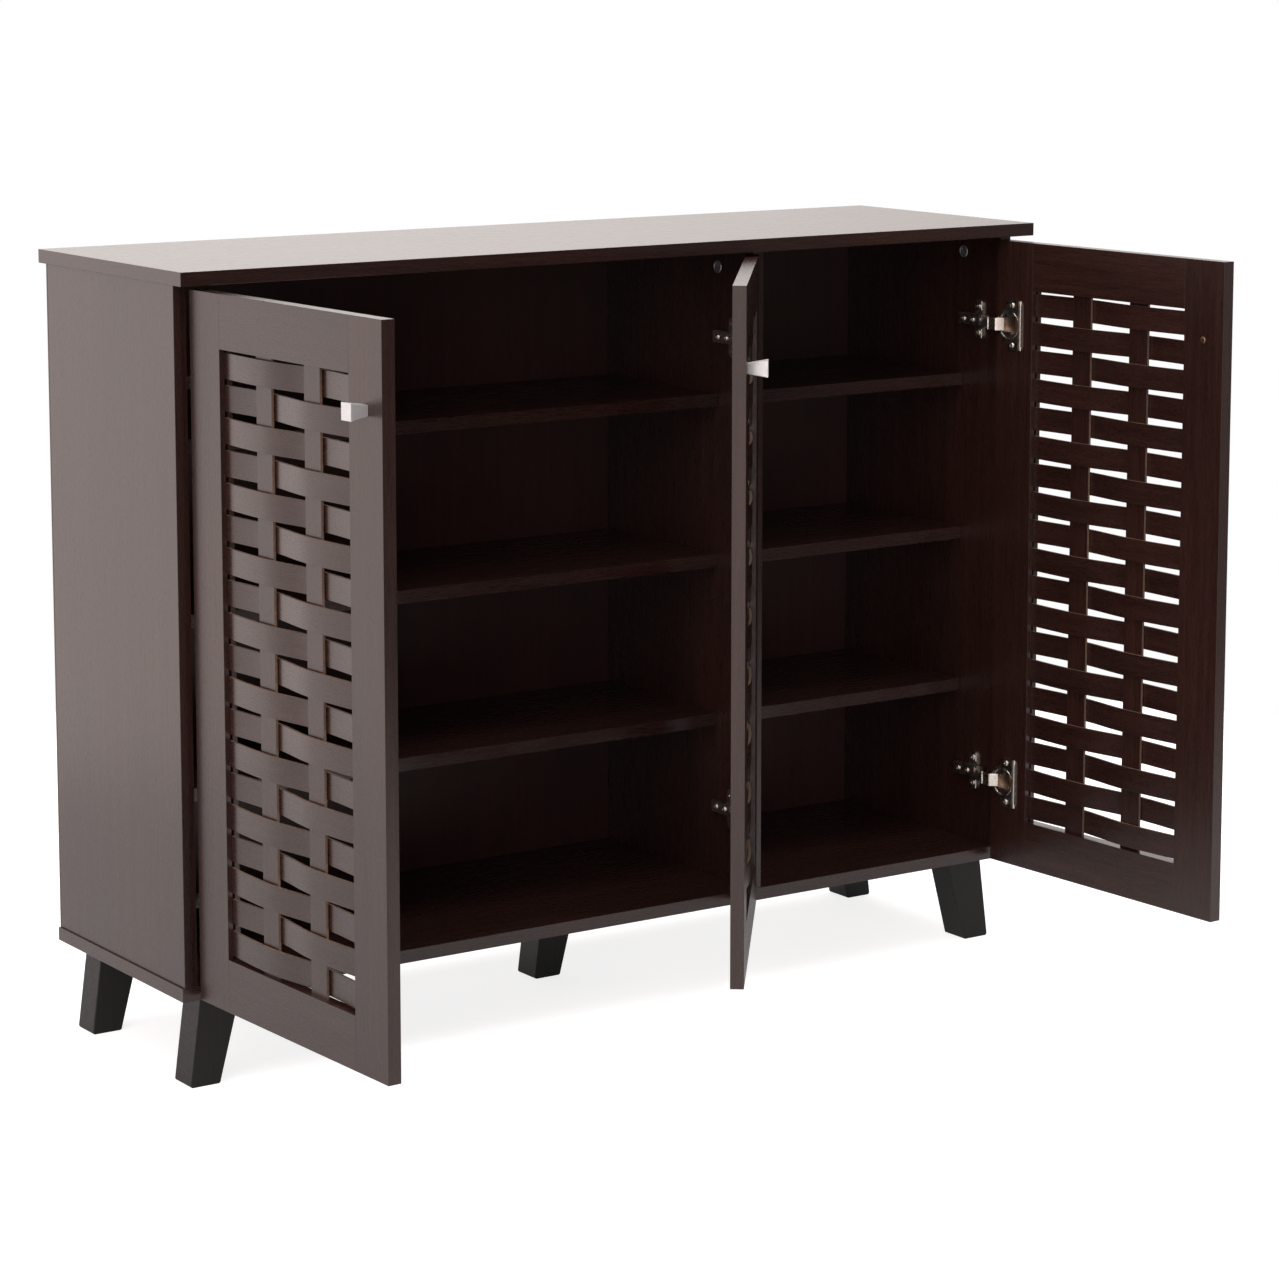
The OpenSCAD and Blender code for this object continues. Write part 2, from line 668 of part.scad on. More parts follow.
module upright_slats() color(wenge) for (x = upright_centres)
    translate([x - upright_w / 2, (door_t - upright_t) / 2, rail_w - slat_tenon])
        cube([upright_w, upright_t, opening_h + 2 * slat_tenon]);

// Pressed cup with its flange, a raised lip along the flange's far edge and a cross pin
module hinge_cup() {
    hinge_cup_shell();
    translate([cup_pin[0] - cup_inset, -cup_pin[1], -cup_pin_l / 2])
        cylinder(r = cup_pin_r, h = cup_pin_l);
}

module hinge_cup_shell() difference() {
    union() {
        translate([0, -cup_depth, 0]) rod_y(cup_d / 2 - 0.1, cup_depth);
        rod_y(cup_d / 2 + 3, flange_t);
        translate([-flange_near, 0, -flange_span / 2 + 6])
            cube([flange_near + flange_far, flange_t, flange_span - 12]);
        for (side = [-1, 1]) translate([0, 0, side * (flange_span / 2 - 6)]) {
            translate([1, 0, 0]) rod_y(6, flange_t);
            translate([flange_far - 6, 0, 0]) rod_y(6, flange_t);
            translate([1, 0, -6]) cube([flange_far - 7, flange_t, 12]);
        }
        translate([flange_far - flange_lip, 0, -flange_span / 2 + 6])
            cube([flange_lip, flange_t + 0.6, flange_span - 12]);
    }
    translate([0, cup_wall - cup_depth, 0]) rod_y(cup_d / 2 - cup_wall, cup_depth + flange_t + cut);
    for (side = [-1, 1])
        translate([cup_screw_in, -cut, side * cup_screw_span / 2])
            rod_y(cup_screw_r + bore_gap, flange_t + 2 * cut);
}
module hinge_cups() color(nickel) for (z = cup_zs) translate([cup_inset, door_t, z]) hinge_cup();

// A square knob that widens away from the door
function trapezoid(base, face, l) =
    [[-base / 2, 0], [base / 2, 0], [face / 2, -l], [-face / 2, -l]];
module knob() color(aluminium) translate([knob_x, 0, door_h - knob_from_top]) difference() {
    intersection() {
        translate([0, 0, -knob_face]) linear_extrude(2 * knob_face)
            polygon(trapezoid(knob_base, knob_face, knob_reach));
        translate([-knob_face, 0, 0]) rotate([90, 0, 90]) linear_extrude(2 * knob_face)
            polygon([for (p = trapezoid(knob_base, knob_face, knob_reach)) [p[1], p[0]]]);
    }
    translate([0, -knob_screw_bite - 0.5, 0]) rod_y(knob_screw_r + bore_gap, knob_screw_bite + 1);
}

module door_screws() color(brass) {
    for (z = cup_zs, side = [-1, 1])
        translate([cup_inset + cup_screw_in, door_t + flange_t, z + side * cup_screw_span / 2])
            mirror([0, 1, 0]) screw_y(cup_screw_r, cup_screw_head_r, cup_screw_l + flange_t - 0.5);
    translate([knob_x, door_t, door_h - knob_from_top])
        mirror([0, 1, 0]) screw_y(knob_screw_r, knob_screw_head_r, door_t + knob_screw_bite);
}

// ---- nodes ----

placed() top_panel();
placed() bottom_panel();
placed() left_side();
placed() right_side();
placed() partition();
placed() left_back_panel();
placed() right_back_panel();
placed() shelf(left_inner, shelf_tops[0]);  // left_top_shelf
placed() shelf(left_inner, shelf_tops[1]);  // left_middle_shelf
placed() shelf(left_inner, shelf_tops[2]);  // left_bottom_shelf
placed() shelf(right_inner, shelf_tops[0]);  // right_top_shelf
placed() shelf(right_inner, shelf_tops[1]);  // right_middle_shelf
placed() shelf(right_inner, shelf_tops[2]);  // right_bottom_shelf
placed() shelf_pins();
placed() cam_locks();
placed() cam_bolts();
placed() top_dowels();
placed() base_screws();
placed() front_left_leg();
placed() front_right_leg();
placed() rear_left_leg();
placed() rear_right_leg();
placed() centre_leg();
placed() leg_bolts();
placed() hinge_plates();
placed() hinge_plate_screws();
placed() full_overlay_arms();
placed() half_overlay_arms();
placed() arm_screws();
placed() left_hinge_links();
placed() middle_hinge_links();
placed() right_hinge_links();
placed() left_door() hinge_stile();  // left_hinge_stile
placed() left_door() latch_stile();  // left_latch_stile
placed() left_door() top_rail();  // left_top_rail
placed() left_door() bottom_rail();  // left_bottom_rail
placed() left_door() cross_slats();  // left_cross_slats
placed() left_door() upright_slats();  // left_upright_slats
placed() left_door() hinge_cups();  // left_hinge_cups
placed() left_door() knob();  // left_knob
placed() left_door() door_screws();  // left_door_screws
placed() middle_door() hinge_stile();  // middle_hinge_stile
placed() middle_door() latch_stile();  // middle_latch_stile
placed() middle_door() top_rail();  // middle_top_rail
placed() middle_door() bottom_rail();  // middle_bottom_rail
placed() middle_door() cross_slats();  // middle_cross_slats
placed() middle_door() upright_slats();  // middle_upright_slats
placed() middle_door() hinge_cups();  // middle_hinge_cups
placed() middle_door() knob();  // middle_knob
placed() middle_door() door_screws();  // middle_door_screws
placed() right_door() hinge_stile();  // right_hinge_stile
placed() right_door() latch_stile();  // right_latch_stile
placed() right_door() top_rail();  // right_top_rail
placed() right_door() bottom_rail();  // right_bottom_rail
placed() right_door() cross_slats();  // right_cross_slats
placed() right_door() upright_slats();  // right_upright_slats
placed() right_door() hinge_cups();  // right_hinge_cups
placed() right_door() knob();  // right_knob
placed() right_door() door_screws();  // right_door_screws
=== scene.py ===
"""Looks of a three-door shoe cabinet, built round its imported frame.

The boards, legs and pressed metal keep the frame's shapes, with worked edges. Geometry
Nodes lay out the strips of the woven door panels, the screws, the cams and the shelf pins.
"""
import json
import logging
import math
from dataclasses import dataclass, field
from enum import Enum
from functools import cache
from typing import Callable, Iterable

import bmesh
import bpy
from mathutils import Matrix, Vector


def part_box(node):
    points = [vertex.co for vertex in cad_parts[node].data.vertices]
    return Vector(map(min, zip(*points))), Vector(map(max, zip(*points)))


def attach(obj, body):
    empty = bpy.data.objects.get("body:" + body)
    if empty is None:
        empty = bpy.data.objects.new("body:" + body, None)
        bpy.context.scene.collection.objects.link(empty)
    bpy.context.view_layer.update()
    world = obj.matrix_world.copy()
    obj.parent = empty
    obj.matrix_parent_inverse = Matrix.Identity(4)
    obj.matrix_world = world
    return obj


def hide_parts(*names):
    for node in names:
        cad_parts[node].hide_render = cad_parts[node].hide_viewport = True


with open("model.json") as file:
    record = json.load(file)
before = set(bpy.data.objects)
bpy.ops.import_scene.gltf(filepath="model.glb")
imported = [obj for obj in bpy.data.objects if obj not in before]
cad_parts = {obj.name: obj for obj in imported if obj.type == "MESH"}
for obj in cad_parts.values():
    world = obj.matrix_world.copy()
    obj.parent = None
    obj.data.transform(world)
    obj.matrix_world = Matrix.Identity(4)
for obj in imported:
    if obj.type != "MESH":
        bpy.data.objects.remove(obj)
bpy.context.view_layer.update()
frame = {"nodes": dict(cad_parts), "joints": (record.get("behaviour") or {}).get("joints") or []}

log = logging.getLogger("shoe_cabinet")

Triple = tuple[float, float, float]
Outline = list[tuple[float, float]]
Socket = bpy.types.NodeSocket
Ring = list[bmesh.types.BMVert]
Profile = Callable[[float, float], Outline]

MM = 0.001
SHIFT = "board_shift"       # vector that moves the grain from one slat to the next
UP = Vector((0.0, 0.0, 1.0))
WELD = 0.002 * MM           # points closer than this are one
TOUCH = 0.01 * MM           # points this close to a plane lie on it
FLAT = math.radians(0.4)    # faces that meet flatter than this are one


# ---- node trees ------------------------------------------------------------------------


class Bench:
    """A node tree that is being built."""

    def __init__(self, tree: bpy.types.NodeTree) -> None:
        """Starts on an emptied tree."""
        self.tree = tree
        self.tree.nodes.clear()

    def feed(self, value: object, socket: Socket) -> None:
        """Links a socket to an input, or sets the input to a plain value."""
        if isinstance(value, Socket):
            self.tree.links.new(value, socket)
        else:
            socket.default_value = value

    def add(self, kind: str, sockets: dict | None = None, **settings: object) -> bpy.types.Node:
        """Adds a node.

        Args:
            kind: Blender's type name of the node.
            sockets: value, or socket to link from, for each input by its name or place.
            settings: properties of the node itself.

        Returns:
            The new node.
        """
        node = self.tree.nodes.new(kind)
        for name, value in settings.items():
            setattr(node, name, value)
        for name, value in (sockets or {}).items():
            self.feed(value, node.inputs[name])
        return node

    def maths(self, operation: str, a: object, b: object = 0.0) -> Socket:
        """Adds a Math node and returns its result."""
        return self.add("ShaderNodeMath", {0: a, 1: b}, operation=operation).outputs[0]

    def weighed(self, a: Socket, share_a: float, b: Socket, share_b: float) -> Socket:
        """Adds up two values, each times its share."""
        return self.maths("ADD", self.maths("MULTIPLY", a, share_a),
                          self.maths("MULTIPLY", b, share_b))

    def vector(self, operation: str, a: object, b: object) -> Socket:
        """Adds a Vector Math node and returns its result."""
        node = self.add("ShaderNodeVectorMath", {0: a, 1: b}, operation=operation)
        return node.outputs["Value" if operation == "DOT_PRODUCT" else "Vector"]

    def xyz(self, x: object = 0.0, y: object = 0.0, z: object = 0.0) -> Socket:
        """Adds a Combine XYZ node and returns its vector."""
        return self.add("ShaderNodeCombineXYZ", {0: x, 1: y, 2: z}).outputs[0]

    def ranged(self, value: object, low: object, high: object, to_low: object = 0.0,
               to_high: object = 1.0, smooth: bool = True) -> Socket:
        """Adds a Map Range node and returns its result."""
        node = self.add("ShaderNodeMapRange",
                        {"Value": value, "From Min": low, "From Max": high,
                         "To Min": to_low, "To Max": to_high},
                        interpolation_type="SMOOTHSTEP" if smooth else "LINEAR")
        return node.outputs["Result"]

    def mixed(self, factor: object, a: object, b: object, blend: str = "MIX") -> Socket:
        """Adds a colour Mix node and returns its result."""
        return self.add("ShaderNodeMix", {0: factor, 6: a, 7: b}, data_type="RGBA",
                        blend_type=blend).outputs[2]

    def noise(self, where: Socket, repeats: Triple, detail: float) -> bpy.types.Node:
        """Adds noise.

        Args:
            where: coordinates that it follows.
            repeats: features to the metre along each axis.
            detail: octaves.

        Returns:
            The noise node.
        """
        return self.add("ShaderNodeTexNoise", {
            "Vector": self.vector("MULTIPLY", where, repeats), "Scale": 1.0,
            "Detail": detail, "Roughness": 0.55})


def shade(colour: Iterable[float]) -> tuple[float, float, float, float]:
    """Gives a colour its alpha."""
    red, green, blue = colour
    return (red, green, blue, 1.0)


# ---- finishes --------------------------------------------------------------------------


class Slot(Enum):
    """Material slots of the record."""

    CARCASS = "carcass"
    BACK = "back_panel"
    DOOR = "door_frame"
    SLAT = "slat"
    LEG = "leg"
    HINGE = "hinge"
    KNOB = "knob"
    CAM = "cam_lock"
    ZINC = "zinc_steel"
    SCREW = "door_screw"


def start_skin(name: str) -> tuple[bpy.types.Material, Bench, Socket]:
    """Starts a material.

    Args:
        name: name of the material.

    Returns:
        The material, its tree and its Object coordinates.
    """
    material = bpy.data.materials.new(name)
    material.use_nodes = True
    b = Bench(material.node_tree)
    return material, b, b.add("ShaderNodeTexCoord").outputs["Object"]


def finish_skin(b: Bench, tone: Socket, rough: Socket, relief: tuple[Socket, float, float],
                even: dict[str, float]) -> None:
    """Ends a material with its colour, gloss and relief.

    Args:
        b: the tree.
        tone: colour.
        rough: roughness.
        relief: height, how much of it shows, and its depth in metres.
        even: the shader's inputs that are the same all over.
    """
    height, strength, depth = relief
    bump = b.add("ShaderNodeBump", {"Strength": strength, "Distance": depth,
                                    "Height": height})
    skin = b.add("ShaderNodeBsdfPrincipled", {"Base Color": tone, "Roughness": rough,
                                              "Normal": bump.outputs[0]} | even)
    b.add("ShaderNodeOutputMaterial", {"Surface": skin.outputs[0]})


@dataclass(frozen=True)
class Grain:
    """Patterns of a wood-grain laminate.

    Repeats are counted to the metre: along the grain, then across it both ways.

    Attributes:
        wander: repeats of the grain's slow bends.
        sway: how far the grain bends each way, in metres.
        cloud: repeats of the darker and paler areas.
        cloud_dark: tint of the darker areas.
        cloud_pale: tint of the paler areas.
        band: repeats of the streaks.
        fine: repeats of the fine lines.
        fleck: repeats of the pores.
    """

    wander: Triple = (1.6, 7.0, 7.0)
    sway: Triple = (0.0, 12.0 * MM, 12.0 * MM)
    cloud: Triple = (2.2, 9.0, 9.0)
    cloud_dark: Triple = (0.84, 0.86, 0.88)
    cloud_pale: Triple = (1.18, 1.13, 1.1)
    band: Triple = (4.0, 150.0, 150.0)
    fine: Triple = (34.0, 1300.0, 1300.0)
    fleck: Triple = (150.0, 1500.0, 1500.0)


@dataclass(frozen=True)
class Laminate:
    """Wood-grain laminate, or bare wood, whose flecks run along one direction.

    Attributes:
        name: name of the material.
        run: direction of the grain, in the frame's axes.
        ground: colour between the streaks.
        streak: colour of the paler streaks.
        pore: colour of the flecks.
        roughness: mean roughness of the skin.
        relief: depth of the pores, in metres.
        grain: patterns of the grain.
    """

    name: str
    run: Triple
    ground: Triple = (0.0185, 0.0068, 0.0053)
    streak: Triple = (0.0330, 0.0145, 0.0115)
    pore: Triple = (0.0105, 0.0040, 0.0034)
    roughness: float = 0.3
    relief: float = 0.03 * MM
    grain: Grain = Grain()

    def turn(self) -> Triple:
        """Angles that lay the grain's direction along the pattern's X axis."""
        run = Vector(self.run).normalized()
        return tuple(run.rotation_difference(Vector((1.0, 0.0, 0.0))).to_euler("XYZ"))

    def build(self) -> bpy.types.Material:
        """Makes the material."""
        material, b, place = start_skin(self.name)
        grain = self.grain
        shift = b.add("ShaderNodeAttribute", attribute_name=SHIFT).outputs["Vector"]
        along = b.add("ShaderNodeMapping", {"Vector": b.vector("ADD", place, shift),
                                            "Rotation": self.turn()},
                      vector_type="POINT").outputs["Vector"]
        sway = b.vector("MULTIPLY", b.noise(along, grain.wander, 2.0).outputs["Color"],
                        grain.sway)
        bent = b.vector("ADD", along, sway)
        cloud = b.noise(along, grain.cloud, 3.0).outputs["Fac"]
        band = b.noise(bent, grain.band, 3.0).outputs["Fac"]
        fine = b.noise(bent, grain.fine, 2.0).outputs["Fac"]
        pores = b.ranged(b.noise(bent, grain.fleck, 1.0).outputs["Fac"], 0.55, 0.78)
        lines = b.ranged(b.weighed(band, 0.45, fine, 0.55), 0.34, 0.70)
        wood = b.mixed(lines, shade(self.ground), shade(self.streak))
        wood = b.mixed(b.maths("MULTIPLY", pores, 0.45), wood, shade(self.pore))
        areas = b.mixed(b.ranged(cloud, 0.3, 0.7), shade(grain.cloud_dark),
                        shade(grain.cloud_pale))
        rough = b.ranged(b.weighed(pores, 1.0, fine, 0.7), 0.1, 1.5,
                         self.roughness - 0.05, self.roughness + 0.09, smooth=False)
        finish_skin(b, b.mixed(1.0, wood, areas, "MULTIPLY"), rough,
                    (b.weighed(fine, 0.4, pores, -0.25), 0.22, self.relief), {"IOR": 1.6})
        return material


@dataclass(frozen=True)
class Paint:
    """Satin paint over close-grained wood.

    Attributes:
        name: name of the material.
        colour: colour of the paint.
        roughness: mean roughness.
        pale: how much lighter it is where it is thin.
        grain: repeats of the wood's grain to the metre.
        peel: repeats of the paint's own ripple to the metre.
    """

    name: str
    colour: Triple
    roughness: float
    pale: Triple = (1.35, 1.32, 1.3)
    grain: Triple = (420.0, 420.0, 18.0)
    peel: Triple = (260.0, 260.0, 260.0)

    def build(self) -> bpy.types.Material:
        """Makes the material."""
        material, b, place = start_skin(self.name)
        grain = b.noise(place, self.grain, 2.0).outputs["Fac"]
        peel = b.noise(place, self.peel, 1.0).outputs["Fac"]
        thin = [part * more for part, more in zip(self.colour, self.pale)]
        tone = b.mixed(b.ranged(grain, 0.35, 0.7), shade(self.colour), shade(thin))
        rough = b.ranged(peel, 0.3, 0.7, self.roughness - 0.05, self.roughness + 0.06)
        finish_skin(b, tone, rough, (b.weighed(grain, 0.6, peel, 0.4), 0.35, 0.08 * MM),
                    {"Specular IOR Level": 0.3})
        return material


@dataclass(frozen=True)
class Plating:
    """Metal, either plated and bright or finely blasted.

    Attributes:
        name: name of the material.
        colour: colour of the metal.
        worn: colour of its rubbed patches.
        roughness: mean roughness.
        bare: how much of the skin is bare metal; the rest is a thin coating.
        patch: rubbed patches to the metre.
        grit: grains of the surface to the metre.
    """

    name: str
    colour: Triple
    worn: Triple
    roughness: float
    bare: float = 1.0
    patch: float = 160.0
    grit: float = 2600.0

    def build(self) -> bpy.types.Material:
        """Makes the material."""
        material, b, place = start_skin(self.name)
        patch = b.noise(place, (self.patch,) * 3, 3.0).outputs["Fac"]
        grit = b.noise(place, (self.grit,) * 3, 1.0).outputs["Fac"]
        tone = b.mixed(b.ranged(patch, 0.42, 0.66), shade(self.colour), shade(self.worn))
        rough = b.ranged(b.weighed(patch, 0.6, grit, 0.4), 0.3, 0.7,
                         self.roughness * 0.75, self.roughness * 1.3)
        finish_skin(b, tone, rough, (grit, 0.2, 0.01 * MM), {"Metallic": self.bare})
        return material


class Palette:
    """The cabinet's materials, each made once."""

    def __init__(self) -> None:
        """Lists the finishes; each is built when it is first asked for."""
        level, upright = (1.0, 0.0, 0.0), (0.0, 0.0, 1.0)
        finishes = [
            Laminate("laminate_level", level),
            Laminate("laminate_upright", upright),
            Laminate("laminate_back", upright, (0.028, 0.0085, 0.0070),
                     (0.044, 0.0155, 0.0125), roughness=0.42),
            Laminate("beech", upright, (0.5, 0.34, 0.19), (0.62, 0.45, 0.27),
                     (0.36, 0.23, 0.12), 0.6),
            # pale tan of the slats' cut edges: partly bare wood, partly a painted highlight
            # along them
            Laminate("cut_edge_painted_highlight", level, (0.11, 0.07, 0.048), (0.17, 0.115, 0.08),
                     (0.05, 0.03, 0.02), 0.55),
            Paint("leg_paint", (0.0105, 0.011, 0.0105), 0.4),
            Plating("nickel", (0.74, 0.70, 0.65), (0.66, 0.61, 0.55), 0.27),
            Plating("satin_nickel", (0.76, 0.71, 0.66), (0.68, 0.62, 0.56), 0.42),
            Plating("copper_wash", (0.64, 0.41, 0.29), (0.56, 0.35, 0.24), 0.36),
            # darker brown for the inside of the hinge cups: painted shade in their hollows
            Plating("cup_painted_shade", (0.21, 0.15, 0.115), (0.17, 0.125, 0.095), 0.4),
            Plating("satin_aluminium", (0.74, 0.775, 0.785), (0.71, 0.74, 0.75), 0.46, 0.5),
            Plating("die_cast_zinc", (0.60, 0.62, 0.63), (0.46, 0.48, 0.49), 0.45),
            Plating("zinc_plate", (0.6, 0.61, 0.62), (0.5, 0.51, 0.53), 0.28),
            Plating("yellow_zinc", (0.34, 0.22, 0.13), (0.26, 0.17, 0.1), 0.42),
        ]
        self._finishes = {finish.name: finish for finish in finishes}
        self._built: dict[str, bpy.types.Material] = {}

    def add(self, finish: Laminate) -> None:
        """Adds a finish, such as a door's level grain."""
        self._finishes[finish.name] = finish

    def get(self, name: str) -> bpy.types.Material:
        """Returns a material by the name of its finish."""
        if name not in self._built:
            self._built[name] = self._finishes[name].build()
        return self._built[name]


PALETTE = Palette()


# ---- pieces ----------------------------------------------------------------------------


def placed(name: str, mesh: bpy.types.Mesh) -> bpy.types.Object:
    """Puts a mesh into the scene."""
    thing = bpy.data.objects.new(name, mesh)
    bpy.context.scene.collection.objects.link(thing)
    return thing


def piece_from(name: str, bm: bmesh.types.BMesh, material: str) -> bpy.types.Object:
    """Makes a piece of one material from working geometry, which is freed."""
    mesh = bpy.data.meshes.new(name)
    bm.to_mesh(mesh)
    bm.free()
    mesh.materials.append(PALETTE.get(material))
    return placed(name, mesh)


def settle(piece: bpy.types.Object, body: str, nodes: Iterable[str] = ()) -> None:
    """Fixes a finished piece to its body.

    Args:
        piece: the piece, at the origin.
        body: body that carries it.
        nodes: CAD nodes that it stands for.
    """
    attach(piece, body)
    nodes = list(nodes)
    if nodes:
        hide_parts(*nodes)
    log.info("%s: %d faces on %s", piece.name, len(piece.data.polygons), body)


def evaluated(piece: bpy.types.Object) -> bpy.types.Mesh:
    """Returns the plain mesh that a piece's modifiers give, and clears them."""
    bpy.context.view_layer.update()
    graph = bpy.context.evaluated_depsgraph_get()
    mesh = bpy.data.meshes.new_from_object(piece.evaluated_get(graph), depsgraph=graph)
    piece.modifiers.clear()
    return mesh


def smooth_by_angle(piece: bpy.types.Object, degrees: float = 32.0) -> None:
    """Shades a piece smooth, with its flats flat and edges sharper than an angle crisp."""
    bm = bmesh.new()
    bm.from_mesh(piece.data)
    limit = math.radians(degrees)
    for face in bm.faces:
        face.smooth = True
    for edge in bm.edges:
        edge.smooth = not (len(edge.link_faces) == 2 and edge.calc_face_angle(0.0) > limit)
    bm.to_mesh(piece.data)
    bm.free()
    even = piece.modifiers.new("even", "WEIGHTED_NORMAL")
    even.keep_sharp, even.weight = True, 80
    piece.data = evaluated(piece)


def cad_copy(node: str, flats: bool = True) -> bmesh.types.BMesh:
    """Copies a CAD node's mesh.

    Args:
        node: the CAD node.
        flats: whether its triangles are joined into flat faces.

    Returns:
        Working geometry, with its doubles merged.
    """
    bm = bmesh.new()
    bm.from_mesh(frame["nodes"][node].data)
    bmesh.ops.remove_doubles(bm, verts=bm.verts, dist=WELD)
    if flats:
        bmesh.ops.dissolve_limit(bm, angle_limit=FLAT, verts=bm.verts, edges=bm.edges,
                                 delimit={"NORMAL"})
    return bm


def softened(node: str, body: str, material: str, width: float,
             segments: int = 2, angle: float = 38.0) -> bpy.types.Object:
    """Makes a CAD node's copy with every sharp edge eased.

    Args:
        node: the CAD node.
        body: body that carries it.
        material: name of the finish.
        width: width of the eased edge, in metres.
        segments: faces across the edge.
        angle: edges flatter than this stay, in degrees.

    Returns:
        The piece.
    """
    piece = piece_from(node + "_worked", cad_copy(node), material)
    ease = piece.modifiers.new("ease", "BEVEL")
    ease.width, ease.segments, ease.limit_method = width, segments, "ANGLE"
    ease.angle_limit, ease.miter_outer = math.radians(angle), "MITER_ARC"
    ease.use_clamp_overlap = True
    piece.data = evaluated(piece)
    smooth_by_angle(piece)
    settle(piece, body, [node])
    return piece


def dress(node: str, material: str) -> None:
    """Gives a CAD node that stays its material."""
    slots = frame["nodes"][node].material_slots
    for slot in slots:
        slot.material = PALETTE.get(material)
    if not slots:
        frame["nodes"][node].data.materials.append(PALETTE.get(material))


def group_middle(points: list[Vector]) -> Vector:
    """Returns the middle of the box round some points."""
    low = Vector(min(p[i] for p in points) for i in range(3))
    high = Vector(max(p[i] for p in points) for i in range(3))
    return (low + high) / 2


def islands(node: str) -> list[list[Vector]]:
    """Returns the points of each separate solid in a CAD node."""
    bm = cad_copy(node, flats=False)
    left = set(bm.verts)
    groups = []
    while left:
        stack = [left.pop()]
        group = []
        while stack:
            vert = stack.pop()
            group.append(vert.co.copy())
            for edge in vert.link_edges:
                other = edge.other_vert(vert)
                if other in left:
                    left.remove(other)
                    stack.append(other)
        groups.append(group)
    bm.free()
    return sorted(groups, key=lambda group: tuple(round(v, 4) for v in group_middle(group)))


def skin_rings(bm: bmesh.types.BMesh, rings: list[Ring], closed: bool = False
               ) -> list[bmesh.types.BMFace]:
    """Joins rings of points with faces that point outwards.

    Args:
        bm: mesh to add to.
        rings: the rings, with as many points each.
        closed: whether the last ring meets the first; else both ends are capped.

    Returns:
        The faces.
    """
    faces = [] if closed else [bm.faces.new(rings[0]), bm.faces.new(rings[-1])]
    for near, far in zip(rings, rings[1:] + (rings[:1] if closed else [])):
        for i in range(len(near)):
            j = (i + 1) % len(near)
            faces.append(bm.faces.new((near[i], near[j], far[j], far[i])))
    bmesh.ops.recalc_face_normals(bm, faces=faces)
    return faces


def revolved(profile: Outline, sides: int) -> bmesh.types.BMesh:
    """Turns a profile about Z.

    Args:
        profile: radius and height of each point, from the lower pole to the upper.
        sides: faces round the axis.

    Returns:
        Working geometry with the turned shape, facing outwards.
    """
    bm = bmesh.new()
    rings = []
    for radius, height in profile:
        if radius == 0.0:
            rings.append([bm.verts.new((0.0, 0.0, height))])
            continue
        rings.append([bm.verts.new((radius * math.cos(2 * math.pi * i / sides),
                                    radius * math.sin(2 * math.pi * i / sides), height))
                      for i in range(sides)])
    for lower, upper in zip(rings, rings[1:]):
        for i in range(sides):
            j = (i + 1) % sides
            corners = [lower[i % len(lower)], lower[j % len(lower)],
                       upper[j % len(upper)], upper[i % len(upper)]]
            bm.faces.new(list(dict.fromkeys(corners)))
    bmesh.ops.recalc_face_normals(bm, faces=bm.faces)
    return bm


# ---- boards ----------------------------------------------------------------------------


@dataclass
class Board:
    """A laminated board whose long arrises are eased and whose bores stay crisp.

    Attributes:
        node: the CAD node that it stands for.
        body: body that carries it.
        material: name of its finish.
        slot: the record's slot; not used.
        place: matrix from the board's own square axes to the frame's.
        arris: width of the eased edges, in metres.
    """

    node: str
    body: str
    material: str
    slot: Slot = Slot.CARCASS
    place: Matrix = field(default_factory=Matrix)
    arris: float = 0.5 * MM

    def outer_edges(self, bm: bmesh.types.BMesh) -> list[bmesh.types.BMEdge]:
        """Finds the edges that lie on two of the board's outer faces."""
        low = [min(v.co[i] for v in bm.verts) for i in range(3)]
        high = [max(v.co[i] for v in bm.verts) for i in range(3)]

        def on_faces(edge: bmesh.types.BMEdge) -> int:
            """Counts the outer faces that an edge lies on."""
            return sum(all(abs(v.co[i] - side[i]) < TOUCH for v in edge.verts)
                       for i in range(3) for side in (low, high))

        return [edge for edge in bm.edges if on_faces(edge) >= 2]

    def build(self) -> None:
        """Makes the board."""
        bm = cad_copy(self.node)
        bm.transform(self.place.inverted())
        bmesh.ops.recalc_face_normals(bm, faces=bm.faces)
        bmesh.ops.bevel(bm, geom=self.outer_edges(bm), offset=self.arris,
                        offset_type="OFFSET", segments=3, profile=0.5, affect="EDGES",
                        clamp_overlap=True)
        bm.transform(self.place)
        bmesh.ops.recalc_face_normals(bm, faces=bm.faces)
        piece = piece_from(self.node + "_board", bm, self.material)
        smooth_by_angle(piece, degrees=40.0)
        settle(piece, self.body, [self.node])


# ---- turned fittings -------------------------------------------------------------------


@dataclass(frozen=True)
class Recess:
    """A cross-shaped driver recess in a screw's head.

    Attributes:
        span: length across the cross.
        width: width of each arm.
        depth: depth at the middle.
    """

    span: float
    width: float
    depth: float


HINGE_CROSS = Recess(3.4 * MM, 0.8 * MM, 0.9 * MM)
ARM_CROSS = Recess(3.2 * MM, 0.8 * MM, 1.0 * MM)
KNOB_CROSS = Recess(4.2 * MM, 0.9 * MM, 1.0 * MM)
BASE_CROSS = Recess(5.0 * MM, 1.1 * MM, 1.6 * MM)
CAM_CROSS = Recess(8.4 * MM, 1.7 * MM, 1.8 * MM)


